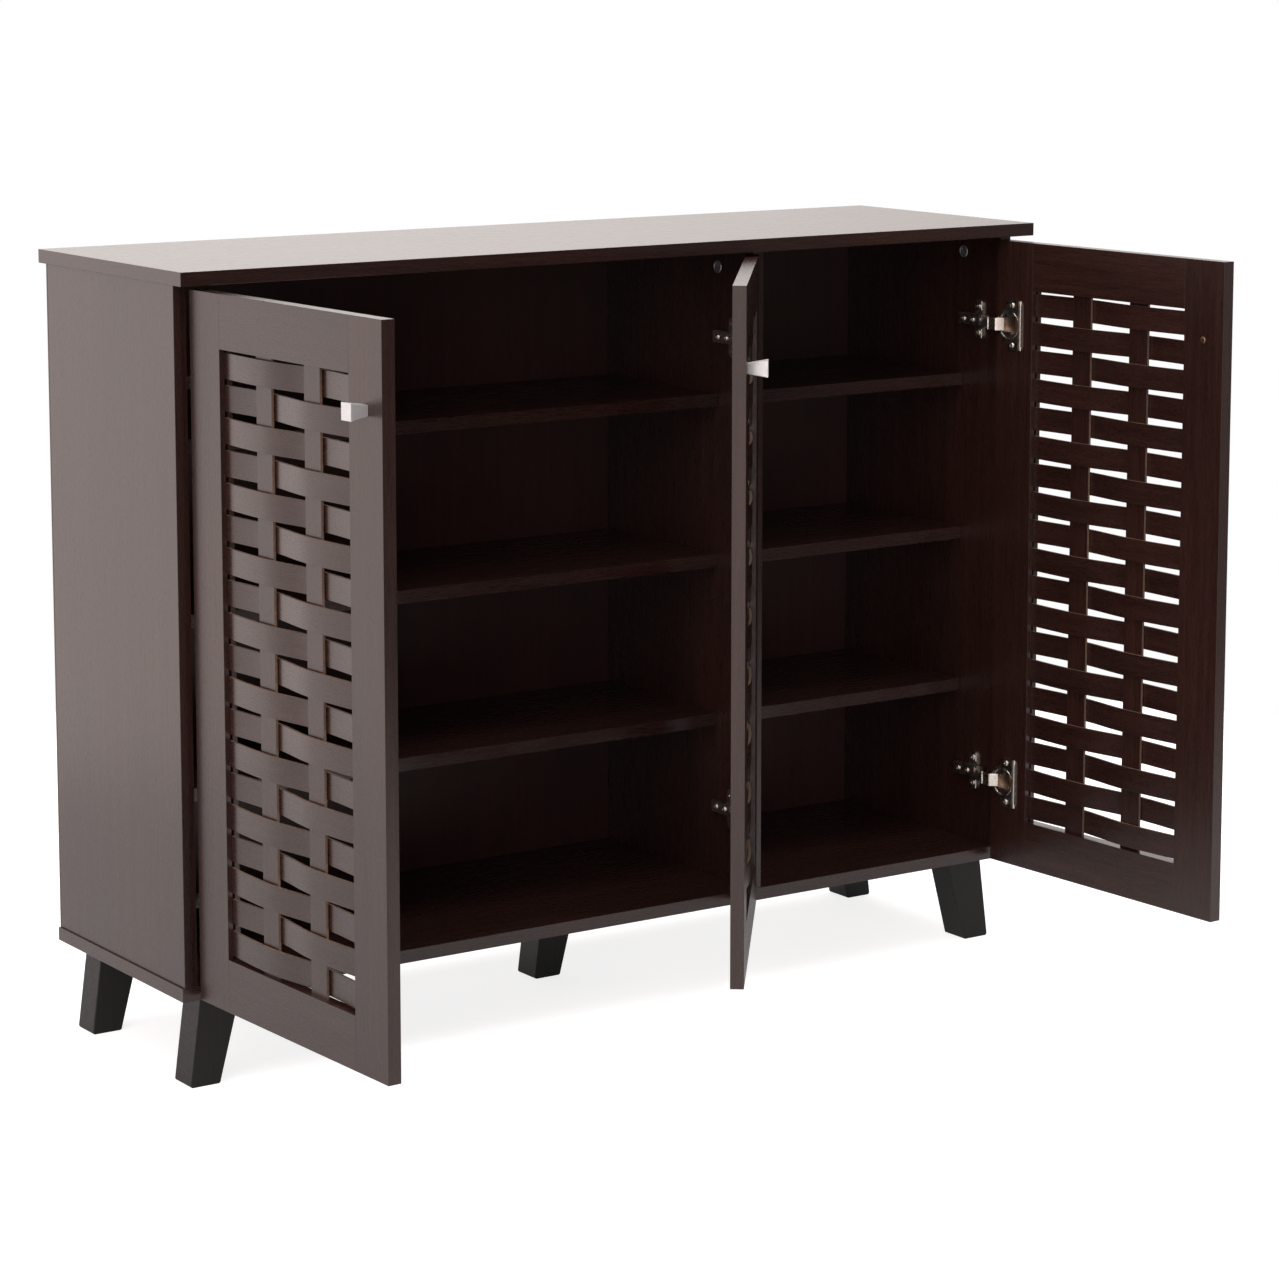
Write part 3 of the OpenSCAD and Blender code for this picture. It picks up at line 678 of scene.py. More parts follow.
@dataclass
class TurnedSet:
    """Equal turned fittings, such as screws or pins, that Geometry Nodes set in place.

    Attributes:
        node: the CAD node that they stand for.
        body: body that carries them.
        slot: the record's slot; not used.
        material: name of their finish.
        profile: gives the profile from a fitting's radius and length, head at height 0.
        aim: direction that a fitting's head faces, from its middle point.
        recess: driver recess, if there is one.
        sides: faces round a fitting.
        only: picks the solids that this set stands for, by their radius.
        suffix: end of the piece's name.
        covers: whether the CAD node gives way to this set.
        roll: turn from one fitting to the next, in radians.
    """

    node: str
    body: str
    slot: Slot
    material: str
    profile: Profile
    aim: Callable[[Vector], Vector]
    recess: Recess | None = None
    sides: int = 28
    only: Callable[[float], bool] = lambda radius: True
    suffix: str = "set"
    covers: bool = True
    roll: float = 0.4

    def measure(self) -> tuple[list[Vector], list[Vector], float, float]:
        """Finds each fitting in the frame.

        Returns:
            The heads' outer middle points, the directions they face, and the radius and
            length of one fitting.
        """
        heads, aims, radius, length = [], [], 0.0, 0.0
        for points in islands(self.node):
            axis = self.aim(group_middle(points)).normalized()
            lay = axis.rotation_difference(UP).to_matrix()
            laid = [lay @ point for point in points]
            centre = group_middle(laid)
            wide = max((point.xy - centre.xy).length for point in laid)
            if not self.only(wide):
                continue
            high = max(point.z for point in laid)
            heads.append(lay.inverted() @ Vector((centre.x, centre.y, high)))
            aims.append(axis)
            radius, length = wide, high - min(point.z for point in laid)
        return heads, aims, radius, length

    def build(self) -> None:
        """Makes the set as one piece."""
        heads, aims, radius, length = self.measure()
        shape = revolved(self.profile(radius, length), self.sides)
        blank = piece_from(self.node + "_blank", shape, self.material)
        name = f"{self.node}_{self.suffix}"
        spots = bpy.data.meshes.new(name)
        spots.from_pydata([tuple(head) for head in heads], [], [])
        attribute = spots.attributes.new("aim", "FLOAT_VECTOR", "POINT")
        attribute.data.foreach_set("vector", [part for aim in aims for part in aim])
        piece = placed(name, spots)
        values = {"Blank": blank, "Finish": PALETTE.get(self.material), "Roll": self.roll}
        if self.recess:
            values |= {"Span": self.recess.span, "Arm": self.recess.width,
                       "Depth": self.recess.depth}
        grow(piece, fitting_tree(self.recess is not None), values)
        bpy.data.objects.remove(blank)
        smooth_by_angle(piece, degrees=34.0)
        settle(piece, self.body, [self.node] if self.covers else [])


def grow(piece: bpy.types.Object, tree: bpy.types.NodeTree, values: dict[str, object]) -> None:
    """Gives a piece the mesh that a Geometry Nodes tree makes of it.

    Args:
        piece: the piece.
        tree: the tree.
        values: the tree's inputs by the names of their sockets.
    """
    modifier = piece.modifiers.new("grown", "NODES")
    modifier.node_group = tree
    for item in tree.interface.items_tree:
        if item.item_type == "SOCKET" and item.in_out == "INPUT" and item.name in values:
            modifier[item.identifier] = values[item.name]
    piece.data = evaluated(piece)


def new_tree(name: str, inputs: dict[str, str]) -> tuple[Bench, bpy.types.NodeOutputs]:
    """Starts a Geometry Nodes tree.

    Args:
        name: name of the tree.
        inputs: kind of each named input after the geometry.

    Returns:
        The tree under construction and the sockets that give its inputs.
    """
    tree = bpy.data.node_groups.new(name, "GeometryNodeTree")
    for label, kind in ({"Geometry": "Geometry"} | inputs).items():
        tree.interface.new_socket(label, in_out="INPUT", socket_type="NodeSocket" + kind)
    tree.interface.new_socket("Geometry", in_out="OUTPUT", socket_type="NodeSocketGeometry")
    b = Bench(tree)
    return b, b.add("NodeGroupInput").outputs


def realized(b: Bench, copies: Socket, material: Socket) -> Socket:
    """Makes a tree's copies real and gives them their material."""
    real = b.add("GeometryNodeRealizeInstances", {"Geometry": copies})
    return b.add("GeometryNodeSetMaterial", {"Geometry": real.outputs[0],
                                             "Material": material}).outputs[0]


@cache
def fitting_tree(crossed: bool) -> bpy.types.NodeTree:
    """Makes the tree that cuts a blank's recess, if any, and sets a copy at each spot."""
    b, given = new_tree("fittings", {"Blank": "Object", "Finish": "Material"}
                        | dict.fromkeys(("Roll", "Span", "Arm", "Depth"), "Float"))
    blank = b.add("GeometryNodeObjectInfo", {"Object": given["Blank"]}).outputs["Geometry"]
    if crossed:
        deep = b.maths("MULTIPLY", given["Depth"], 2.0)
        cut = b.add("GeometryNodeMeshBoolean", {"Mesh 1": blank}, operation="DIFFERENCE")
        for first, second in (("Span", "Arm"), ("Arm", "Span")):
            arm = b.add("GeometryNodeMeshCube",
                        {"Size": b.xyz(given[first], given[second], deep)})
            b.feed(arm.outputs[0], cut.inputs["Mesh 2"])
        blank = cut.outputs[0]
    aim = b.add("GeometryNodeInputNamedAttribute", {"Name": "aim"}, data_type="FLOAT_VECTOR")
    facing = b.add("FunctionNodeAlignRotationToVector", {"Vector": aim.outputs[0]}, axis="Z")
    turn = b.maths("MULTIPLY", b.add("GeometryNodeInputIndex").outputs[0], given["Roll"])
    spin = b.add("FunctionNodeAxisAngleToRotation", {"Axis": tuple(UP), "Angle": turn})
    both = b.add("FunctionNodeRotateRotation", {"Rotation": facing.outputs[0],
                                                "Rotate By": spin.outputs[0]},
                 rotation_space="LOCAL")
    copies = b.add("GeometryNodeInstanceOnPoints", {"Points": given["Geometry"],
                                                    "Instance": blank,
                                                    "Rotation": both.outputs[0]})
    b.add("NodeGroupOutput", {0: realized(b, copies.outputs[0], given["Finish"])})
    return b.tree


def into_bay(centre: Vector) -> Vector:
    """Points along the cabinet, away from the side panel that a fitting sits on."""
    return Vector((1.0 if centre.x < 0.0 else -1.0, 0.0, 0.0))


def pan_head(thick: float, shank: float) -> Profile:
    """Gives the profile of a pan-head screw.

    Args:
        thick: height of the head, in metres.
        shank: radius of the shank as a share of the head's.

    Returns:
        A function of the head's radius and the screw's length.
    """

    def profile(radius: float, length: float) -> Outline:
        """Gives the profile from the head's radius and the screw's length."""
        stem = radius * shank
        dome = [(0.96, 1.0), (1.0, 0.9), (1.0, 0.55), (0.97, 0.3), (0.88, 0.12),
                (0.72, 0.03), (0.4, 0.0), (0.0, 0.0)]
        return [(0.0, -length), (stem * 0.8, -length), (stem, -length * 0.96),
                (stem, -thick)] + [(radius * out, -thick * down) for out, down in dome]

    return profile


def rounded_pin(radius: float, length: float) -> Outline:
    """Gives the profile of a plain pin with eased ends."""
    ease = radius * 0.22
    return [(0.0, -length), (radius - ease, -length), (radius, ease - length),
            (radius, -ease), (radius - ease * 0.3, -ease * 0.3), (radius - ease, 0.0),
            (0.0, 0.0)]


def cam_disc(radius: float, length: float) -> Outline:
    """Gives the profile of a cam lock's face, with its rim and shallow dish."""
    ease, dish = 0.5 * MM, 0.3 * MM
    return [(0.0, -length), (radius * 0.98, -length), (radius, -length * 0.98),
            (radius, -ease), (radius * 0.95, 0.0), (radius * 0.84, 0.0),
            (radius * 0.8, -dish), (radius * 0.3, -dish), (0.0, -dish)]


# ---- weave -----------------------------------------------------------------------------


@dataclass
class Weave:
    """Sizes of the woven panel in a door, in metres, in the door's own axes.

    Attributes:
        rows: number of cross slats.
        gap: open height between two cross slats.
        thick: thickness of a cross slat.
        upright_w: width of an upright slat.
        upright_t: thickness of an upright slat.
        crown: how far a cross slat bends out of its plane.
        bite: how far the end of a cross slat's bend lies behind the stile's edge.
        tenon: length of a slat's end that is let into the frame.
        edge: radius of a slat's arrises.
        steps: points along a cross slat.
    """

    rows: int = 19
    gap: float = 6.6 * MM
    thick: float = 3.0 * MM
    upright_w: float = 30.0 * MM
    upright_t: float = 3.0 * MM
    crown: float = 4.05 * MM
    bite: float = 2.0 * MM
    tenon: float = 6.0 * MM
    edge: float = 0.3 * MM
    steps: int = 84


LOOSE = 0.22 * MM           # how far a cross slat may sit above or below its place
GRAIN_SPREAD = 3.0          # how far the grain may move from slat to slat, in metres
CUT_FACING = 0.92           # cosine of the widest lean of a cut edge


def new_weave(name: str, counts: Iterable[str], lengths: Iterable[str]
              ) -> tuple[Bench, bpy.types.NodeOutputs]:
    """Starts the tree of the slats that run one way.

    Args:
        name: name of the tree.
        counts: its whole-number inputs.
        lengths: its inputs in metres.

    Returns:
        The tree under construction and the sockets that give its inputs.
    """
    return new_tree(name, dict.fromkeys(counts, "Int") | dict.fromkeys(lengths, "Float")
                    | {"Finish": "Material", "Cut Edge Painted Highlight": "Material"})


def rounded_bar(b: Bench, width: Socket, height: Socket, edge: Socket, path: Socket) -> Socket:
    """Sweeps a rectangle with eased corners along a path.

    Args:
        b: the tree.
        width: size of the rectangle across the path, level.
        height: size of the rectangle across the path, upright.
        edge: radius of its corners.
        path: the path's curve.

    Returns:
        The swept mesh.
    """
    outline = b.add("GeometryNodeCurvePrimitiveQuadrilateral",
                    {"Width": width, "Height": height}, mode="RECTANGLE")
    eased = b.add("GeometryNodeFilletCurve", {"Curve": outline.outputs[0], "Count": 3,
                                              "Radius": edge}, mode="POLY")
    return b.add("GeometryNodeCurveToMesh", {"Curve": path, "Profile Curve": eased.outputs[0],
                                             "Fill Caps": True}).outputs[0]


def scattered(b: Bench, spread: Triple, seed: object) -> Socket:
    """Gives each slat its own random vector.

    Args:
        b: the tree.
        spread: largest size along each axis, either way.
        seed: seed of the draws.

    Returns:
        The vector.
    """
    return b.add("FunctionNodeRandomValue",
                 {"Min": tuple(-part for part in spread), "Max": spread,
                  "ID": b.add("GeometryNodeInputIndex").outputs[0], "Seed": seed},
                 data_type="FLOAT_VECTOR").outputs[0]


def finish_weave(b: Bench, given: bpy.types.NodeOutputs, strips: Socket, seed: object,
                 cut_way: Triple) -> None:
    """Ends a weave's tree: real slats, each with grain of its own, and cut edges whose pale
    colour is partly bare wood and partly a painted highlight.

    Args:
        b: the tree.
        given: the sockets that give its inputs.
        strips: the laid-out slats.
        seed: seed of the grain's moves.
        cut_way: direction that the cut edges face, either way.
    """
    marked = b.add("GeometryNodeStoreNamedAttribute",
                   {"Geometry": strips, "Name": SHIFT,
                    "Value": scattered(b, (GRAIN_SPREAD,) * 3, seed)},
                   data_type="FLOAT_VECTOR", domain="INSTANCE")
    # faces along cut_way get the pale edge finish, which is partly bare wood and partly a
    # painted highlight
    facing = b.vector("DOT_PRODUCT", b.add("GeometryNodeInputNormal").outputs[0], cut_way)
    cut = b.maths("GREATER_THAN", b.maths("ABSOLUTE", facing), CUT_FACING)
    bare = b.add("GeometryNodeSetMaterial", {
        "Geometry": realized(b, marked.outputs[0], given["Finish"]), "Selection": cut,
        "Material": given["Cut Edge Painted Highlight"]})
    b.add("NodeGroupOutput", {0: bare.outputs[0]})


@cache
def row_tree() -> bpy.types.NodeTree:
    """Makes the tree that bends the cross slats and stacks them."""
    b, g = new_weave("woven_rows", ("Rows", "Steps", "Seed"),
                     ("Pitch", "Height", "Thickness", "Start", "End", "Mouth", "Middle",
                      "Spacing", "Crown", "Plane", "Top", "Edge"))
    line = b.add("GeometryNodeCurvePrimitiveLine", {"Start": b.xyz(g["Start"]),
                                                    "End": b.xyz(g["End"])})
    fine = b.add("GeometryNodeResampleCurve", {"Curve": line.outputs[0], "Count": g["Steps"]})
    spot = b.add("GeometryNodeInputPosition").outputs[0]
    off = b.maths("SUBTRACT", b.add("ShaderNodeSeparateXYZ", {0: spot}).outputs[0],
                  g["Middle"])
    away = b.maths("ABSOLUTE", off)
    half = b.maths("MULTIPLY", g["Spacing"], 0.5)
    inner = b.maths("SINE", b.maths("MULTIPLY", b.maths("DIVIDE", away, g["Spacing"]),
                                    math.pi))
    run_out = b.ranged(away, half, b.maths("SUBTRACT", g["Middle"], g["Mouth"]), 1.0, 0.0,
                       smooth=False)
    outer = b.maths("SINE", b.maths("MULTIPLY", run_out, math.pi / 2))
    beyond = b.maths("GREATER_THAN", away, half)
    wave = b.maths("ADD", b.maths("MULTIPLY", outer, beyond),
                   b.maths("MULTIPLY", inner, b.maths("SUBTRACT", 1.0, beyond)))
    bend = b.maths("MULTIPLY", b.maths("MULTIPLY", wave, b.maths("SIGN", off)), g["Crown"])
    pair = b.add("GeometryNodeGeometryToInstance")
    for side in (-1.0, 1.0):
        bent = b.add("GeometryNodeSetPosition", {
            "Geometry": fine.outputs[0], "Offset": b.xyz(y=b.maths("MULTIPLY", bend, side))})
        level = b.add("GeometryNodeSetCurveNormal", {"Curve": bent.outputs[0]}, mode="Z_UP")
        b.feed(rounded_bar(b, g["Thickness"], g["Height"], g["Edge"], level.outputs[0]),
               pair.inputs[0])
    first = b.maths("SUBTRACT", g["Top"], b.maths("MULTIPLY", g["Pitch"], 0.5))
    spots = b.add("GeometryNodeMeshLine", {
        "Count": g["Rows"], "Start Location": b.xyz(y=g["Plane"], z=first),
        "Offset": b.xyz(z=b.maths("MULTIPLY", g["Pitch"], -1.0))})
    loose = b.add("GeometryNodeSetPosition", {
        "Geometry": spots.outputs[0], "Offset": scattered(b, (0.0, 0.0, LOOSE), g["Seed"])})
    odd = b.maths("MODULO", b.add("GeometryNodeInputIndex").outputs[0], 2.0)
    rows = b.add("GeometryNodeInstanceOnPoints", {
        "Points": loose.outputs[0], "Instance": pair.outputs[0], "Pick Instance": True,
        "Instance Index": odd})
    finish_weave(b, g, rows.outputs[0], b.maths("ADD", g["Seed"], 7.0), tuple(UP))
    return b.tree


@cache
def upright_tree() -> bpy.types.NodeTree:
    """Makes the tree that stands the straight upright slats side by side."""
    b, g = new_weave("uprights", ("Count", "Seed"),
                     ("First", "Spacing", "Plane", "Width", "Thickness", "Edge", "Low",
                      "High"))
    path = b.add("GeometryNodeCurvePrimitiveLine", {"Start": b.xyz(z=g["Low"]),
                                                    "End": b.xyz(z=g["High"])})
    bar = rounded_bar(b, g["Width"], g["Thickness"], g["Edge"], path.outputs[0])
    spots = b.add("GeometryNodeMeshLine", {
        "Count": g["Count"], "Start Location": b.xyz(g["First"], g["Plane"]),
        "Offset": b.xyz(g["Spacing"])})
    copies = b.add("GeometryNodeInstanceOnPoints", {"Points": spots.outputs[0],
                                                    "Instance": bar})
    finish_weave(b, g, copies.outputs[0], g["Seed"], (1.0, 0.0, 0.0))
    return b.tree


# ---- doors -----------------------------------------------------------------------------


class Hand(Enum):
    """Side that a closed door is hinged on, as its direction from hinge to latch."""

    LEFT = 1.0
    RIGHT = -1.0


@dataclass
class Cup:
    """Sizes of the details in and on a hinge cup, in metres.

    Attributes:
        from_end: distance of the cup from the door's end.
        inset: distance of its middle from the hinge edge.
        mouth: radius of its mouth.
        depth: depth of the cup.
        flange: thickness of its flange.
        bright_w: width of the band inside its mouth that is left bright, outside the painted
            shade.
        bright_d: depth of that band below the flange's face.
        rim: radius of the rolled rim's section.
        rim_up: height of the section's middle above the flange, as a share of its radius.
        slot_half: half height of the slot that the link passes through.
        cheek_low: underside of the mouth's cheeks, from the door's inner face.
        cheek_high: upper side of the cheeks.
        cheek_gap: gap between the cheeks and the wall of the mouth.
        cheek_past: how far the cheeks reach past the spring box.
        box_from: nearer side of the spring box, from the hinge edge.
        box_to: farther side of the spring box.
        box_half: half height of the spring box.
        box_floor: height of the box's underside above the cup's floor.
        box_steps: how far each step of the box is set in, and its top from the inner face.
        box_ease: width of the box's eased edges.
        ridge_at: middle of the flange's ridge, from the hinge edge.
        ridge_w: width of the ridge.
        ridge_h: height of the ridge.
        ridge_l: length of the ridge.
        ridge_end: length of the ridge's lower ends.
        ridge_low: height of the ridge at its ends, as a share of the whole.
        sunk: how far the ridge sinks into the flange.
    """

    from_end: float = 100.0 * MM
    inset: float = 22.0 * MM
    mouth: float = 16.5 * MM
    depth: float = 12.0 * MM
    flange: float = 1.2 * MM
    bright_w: float = 0.4 * MM
    bright_d: float = 1.5 * MM
    rim: float = 0.35 * MM
    rim_up: float = 0.35
    slot_half: float = 8.4 * MM
    cheek_low: float = 0.1 * MM
    cheek_high: float = 0.85 * MM
    cheek_gap: float = 0.15 * MM
    cheek_past: float = 0.2 * MM
    box_from: float = 25.0 * MM
    box_to: float = 34.5 * MM
    box_half: float = 10.8 * MM
    box_floor: float = 1.2 * MM
    box_steps: tuple[tuple[float, float], ...] = ((0.0, -6.2 * MM), (2.2 * MM, -5.4 * MM))
    box_ease: float = 0.5 * MM
    ridge_at: float = 40.6 * MM
    ridge_w: float = 5.2 * MM
    ridge_h: float = 1.5 * MM
    ridge_l: float = 59.0 * MM
    ridge_end: float = 1.2 * MM
    ridge_low: float = 0.35
    sunk: float = 0.2 * MM


@dataclass
class Door:
    """A framed door, hung on one side and stored open.

    Attributes:
        key: first word of its nodes' names.
        hand: side that it is hinged on.
        weave: sizes of its woven panel.
        cup: sizes of its hinge cups' details.
        width: width of the door.
        height: height of the door.
        thick: thickness of the frame.
        stile: width of the stiles.
        rail: height of the rails.
        stile_arris: width of the stiles' eased edges.
        rail_arris: width of the rails' eased edges.
        front_gap: gap between the closed door and the carcass.
        pivot_in: distance from the hinge edge to the swing axis.
        pivot_out: distance from the carcass's front to the swing axis.
        screw_split: head radius between the cup screws' and the knob screw's.
    """

    key: str
    hand: Hand
    weave: Weave = field(default_factory=Weave)
    cup: Cup = field(default_factory=Cup)
    width: float = 371.0 * MM
    height: float = 756.0 * MM
    thick: float = 15.0 * MM
    stile: float = 60.5 * MM
    rail: float = 57.0 * MM
    stile_arris: float = 0.28 * MM
    rail_arris: float = 0.25 * MM
    front_gap: float = 3.0 * MM
    pivot_in: float = 9.77708 * MM
    pivot_out: float = 20.5 * MM
    screw_split: float = 3.7 * MM

    @property
    def body(self) -> str:
        """Body that carries the door."""
        return self.key + "_door"

    @property
    def joint(self) -> dict:
        """The frame's record of the door's hinge."""
        return next(j for j in frame["joints"] if j["child"] == self.body)

    @property
    def place(self) -> Matrix:
        """Matrix from the door's own axes to the frame's, at rest.

        The door's X runs from its hinge edge to its latch edge, its Y from its outer
        face to its inner face, and its Z up from its lower edge.
        """
        x, y, _ = self.joint["pos_m"]
        pivot = Vector((x, y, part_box(self.key + "_hinge_stile")[0].z))
        closed = Vector((-self.pivot_in, self.pivot_out - self.front_gap - self.thick, 0.0))
        mirror = Matrix.Diagonal((self.hand.value, 1.0, 1.0, 1.0))
        opened = Matrix.Rotation(math.radians(self.joint["range_deg"][0]), 4, "Z")
        return Matrix.Translation(pivot) @ mirror @ opened @ Matrix.Translation(closed)

    @property
    def run(self) -> Triple:
        """Direction of the door's width at rest, in the frame."""
        return tuple((self.place.to_3x3() @ Vector((1.0, 0.0, 0.0))).normalized())

    @property
    def uprights(self) -> tuple[float, float]:
        """Middles of the two upright slats, in the door's axes."""
        gap = (self.width - 2 * self.stile - 2 * self.weave.upright_w) / 3
        first = self.stile + gap + self.weave.upright_w / 2
        return first, self.width - first

    @property
    def cup_heights(self) -> tuple[float, float]:
        """Middles of the two hinge cups above the door's lower edge."""
        return self.cup.from_end, self.height - self.cup.from_end

    def build(self) -> None:
        """Makes every piece of the door."""
        level = self.key + "_door_level"
        PALETTE.add(Laminate(level, self.run))
        for part, finish, arris in (("hinge_stile", "laminate_upright", self.stile_arris),
                                    ("latch_stile", "laminate_upright", self.stile_arris),
                                    ("top_rail", level, self.rail_arris),
                                    ("bottom_rail", level, self.rail_arris)):
            Board(f"{self.key}_{part}", self.body, finish, Slot.DOOR, self.place,
                  arris).build()
        self.weave_rows(level)
        self.weave_uprights()
        softened(self.key + "_knob", self.body, "satin_aluminium", 0.9 * MM, 3)
        cups = softened(self.key + "_hinge_cups", self.body, "nickel",
                        0.18 * MM, 1)
        self.shade_cups_inside(cups.data)
        self.cup_details()
        self.screws()

    def screws(self) -> None:
        """Makes the heads of the screws that hold the hinge cups and the knob."""
        node, head, split = self.key + "_door_screws", pan_head(1.6 * MM, 0.5), self.screw_split
        inward = self.place.to_3x3() @ Vector((0.0, 1.0, 0.0))
        TurnedSet(node, self.body, Slot.SCREW, "nickel", head, lambda centre: inward,
                  HINGE_CROSS, only=lambda radius: radius < split,
                  suffix="cup_screws").build()
        TurnedSet(node, self.body, Slot.SCREW, "yellow_zinc", head, lambda centre: inward,
                  KNOB_CROSS, only=lambda radius: radius > split, suffix="knob_screw",
                  covers=False).build()

    def shade_cups_inside(self, mesh: bpy.types.Mesh) -> None:
        """Paints the inside of the hinge cups darker brown below a bright band at the mouth:
        painted shade in their hollows.
        """
        cup, back = self.cup, self.place.inverted()
        mesh.materials.append(PALETTE.get("cup_painted_shade"))
        for face in mesh.polygons:
            spot = back @ face.center
            off = min(abs(spot.z - z) for z in self.cup_heights)
            within = math.hypot(spot.x - cup.inset, off) < cup.mouth - cup.bright_w
            # faces deep in a cup's hollow, below the bright band, take the painted shade
            if within and -cup.depth < spot.y - self.thick < cup.flange - cup.bright_d:
                face.material_index = 1

    def place_mesh(self, mesh: bpy.types.Mesh) -> None:
        """Moves a mesh from the door's axes to the frame's, with its faces outwards."""
        mesh.transform(self.place)
        if self.place.determinant() < 0:
            mesh.flip_normals()

    def slats(self, kind: str, tree: bpy.types.NodeTree, material: str,
              values: dict[str, object]) -> None:
        """Makes the slats that run one way.

        Args:
            kind: end of their CAD node's name.
            tree: the tree that lays them out.
            material: name of their finish.
            values: the tree's inputs, apart from those that all slats share.
        """
        node = f"{self.key}_{kind}"
        first, second = self.uprights
        piece = placed(node + "_woven", bpy.data.meshes.new(node))
        grow(piece, tree, values | {
            "Spacing": second - first, "Plane": self.thick / 2, "Edge": self.weave.edge,
            "Finish": PALETTE.get(material), "Cut Edge Painted Highlight": PALETTE.get("cut_edge_painted_highlight")})
        self.place_mesh(piece.data)
        smooth_by_angle(piece, degrees=50.0)
        settle(piece, self.body, [node])

    def weave_rows(self, material: str) -> None:
        """Makes the cross slats."""
        w = self.weave
        pitch = (self.height - 2 * self.rail) / w.rows
        self.slats("cross_slats", row_tree(), material, {
            "Rows": w.rows, "Steps": w.steps, "Seed": len(self.key), "Pitch": pitch,
            "Height": pitch - w.gap, "Thickness": w.thick, "Crown": w.crown,
            "Start": self.stile - w.tenon, "End": self.width - self.stile + w.tenon,
            "Mouth": self.stile - w.bite, "Middle": self.width / 2,
            "Top": self.height - self.rail})

    def weave_uprights(self) -> None:
        """Makes the upright slats."""
        w = self.weave
        self.slats("upright_slats", upright_tree(), "laminate_upright", {
            "Count": len(self.uprights), "Seed": 3, "First": self.uprights[0],
            "Width": w.upright_w, "Thickness": w.upright_t, "Low": self.rail - w.tenon,
            "High": self.height - self.rail + w.tenon})

    def slab(self, bm: bmesh.types.BMesh, outline: Outline, low: float, high: float
             ) -> list[bmesh.types.BMFace]:
        """Adds a flat slab that lies along the door's inner face.

        Args:
            bm: mesh to add to.
            outline: corners as distances from the hinge edge and from the door's bottom.
            low: distance of its underside from the inner face; positive stands proud.
            high: distance of its upper side from the inner face.

        Returns:
            The slab's faces.
        """
        return skin_rings(bm, [[bm.verts.new((x, self.thick + level, z)) for x, z in outline]
                               for level in (low, high)])

    def cup_details(self) -> None:
        """Makes what lies in and on each hinge cup: spring box, cheeks, mouth and ridge."""
        for name, material, fill in (("cup_pockets", "copper_wash", self.add_pocket),
                                     ("cup_cheeks", "nickel", self.add_cheeks),
                                     ("cup_rims", "nickel", self.add_rim),
                                     ("cup_ridges", "satin_nickel", self.add_ridge)):
            bm = bmesh.new()
            for z in self.cup_heights:
                fill(bm, z)
            piece = piece_from(f"{self.key}_{name}", bm, material)
            self.place_mesh(piece.data)
            smooth_by_angle(piece)
            settle(piece, self.body)

    def add_pocket(self, bm: bmesh.types.BMesh, z: float) -> None:
        """Adds the stepped spring box at the bottom of a cup."""
        cup = self.cup
        for inset, top in cup.box_steps:
            x0, x1 = cup.box_from + inset, cup.box_to - inset
            half = cup.box_half - inset
            outline = [(x0, z - half), (x1, z - half), (x1, z + half), (x0, z + half)]
            faces = self.slab(bm, outline, cup.box_floor - cup.depth, top)
            edges = list({edge for face in faces for edge in face.edges})
            bmesh.ops.bevel(bm, geom=edges, offset=cup.box_ease, offset_type="OFFSET",
                            segments=2, profile=0.5, affect="EDGES")

    def add_cheeks(self, bm: bmesh.types.BMesh, z: float) -> None:
        """Adds the two cheeks that close a cup's mouth above and below its link."""
        cup, steps = self.cup, 20
        radius = cup.mouth - cup.cheek_gap
        narrow, wide = cup.slot_half, cup.box_half + cup.cheek_past
        start, end = math.acos(wide / radius), -math.acos(narrow / radius)
        for side in (-1.0, 1.0):
            turns = (start + (end - start) * i / steps for i in range(steps + 1))
            points = [(cup.inset + radius * math.sin(turn),
                       z + side * radius * math.cos(turn)) for turn in turns]
            points += [(cup.box_from, z + side * narrow), (cup.box_from, z + side * wide)]
            self.slab(bm, points, cup.cheek_low, cup.cheek_high)

    def add_rim(self, bm: bmesh.types.BMesh, z: float) -> None:
        """Adds the rolled rim round a cup's mouth."""
        cup, sides, steps = self.cup, 8, 72
        rings = []
        for turn in (2 * math.pi * i / steps for i in range(steps)):
            rings.append([bm.verts.new((
                cup.inset + (cup.mouth + cup.rim * math.cos(a)) * math.cos(turn),
                self.thick + cup.flange + cup.rim * (cup.rim_up + math.sin(a)),
                z + (cup.mouth + cup.rim * math.cos(a)) * math.sin(turn)))
                for a in (2 * math.pi * k / sides for k in range(sides))])
        skin_rings(bm, rings, closed=True)

    def add_ridge(self, bm: bmesh.types.BMesh, z: float) -> None:
        """Adds the pressed ridge along a flange's far edge, rounded on top."""
        cup, steps = self.cup, 9
        base = self.thick + cup.flange - cup.sunk
        half = cup.ridge_l / 2
        inner = half - cup.ridge_end
        turns = [math.pi * i / steps for i in range(steps + 1)]
        skin_rings(bm, [[bm.verts.new((cup.ridge_at + cup.ridge_w / 2 * math.cos(turn),
                                       base + cup.ridge_h * math.sin(turn) * share,
                                       z + level)) for turn in turns]
                        for level, share in ((-half, cup.ridge_low), (-inner, 1.0),
                                             (inner, 1.0), (half, cup.ridge_low))])


# ---- carcass ---------------------------------------------------------------------------


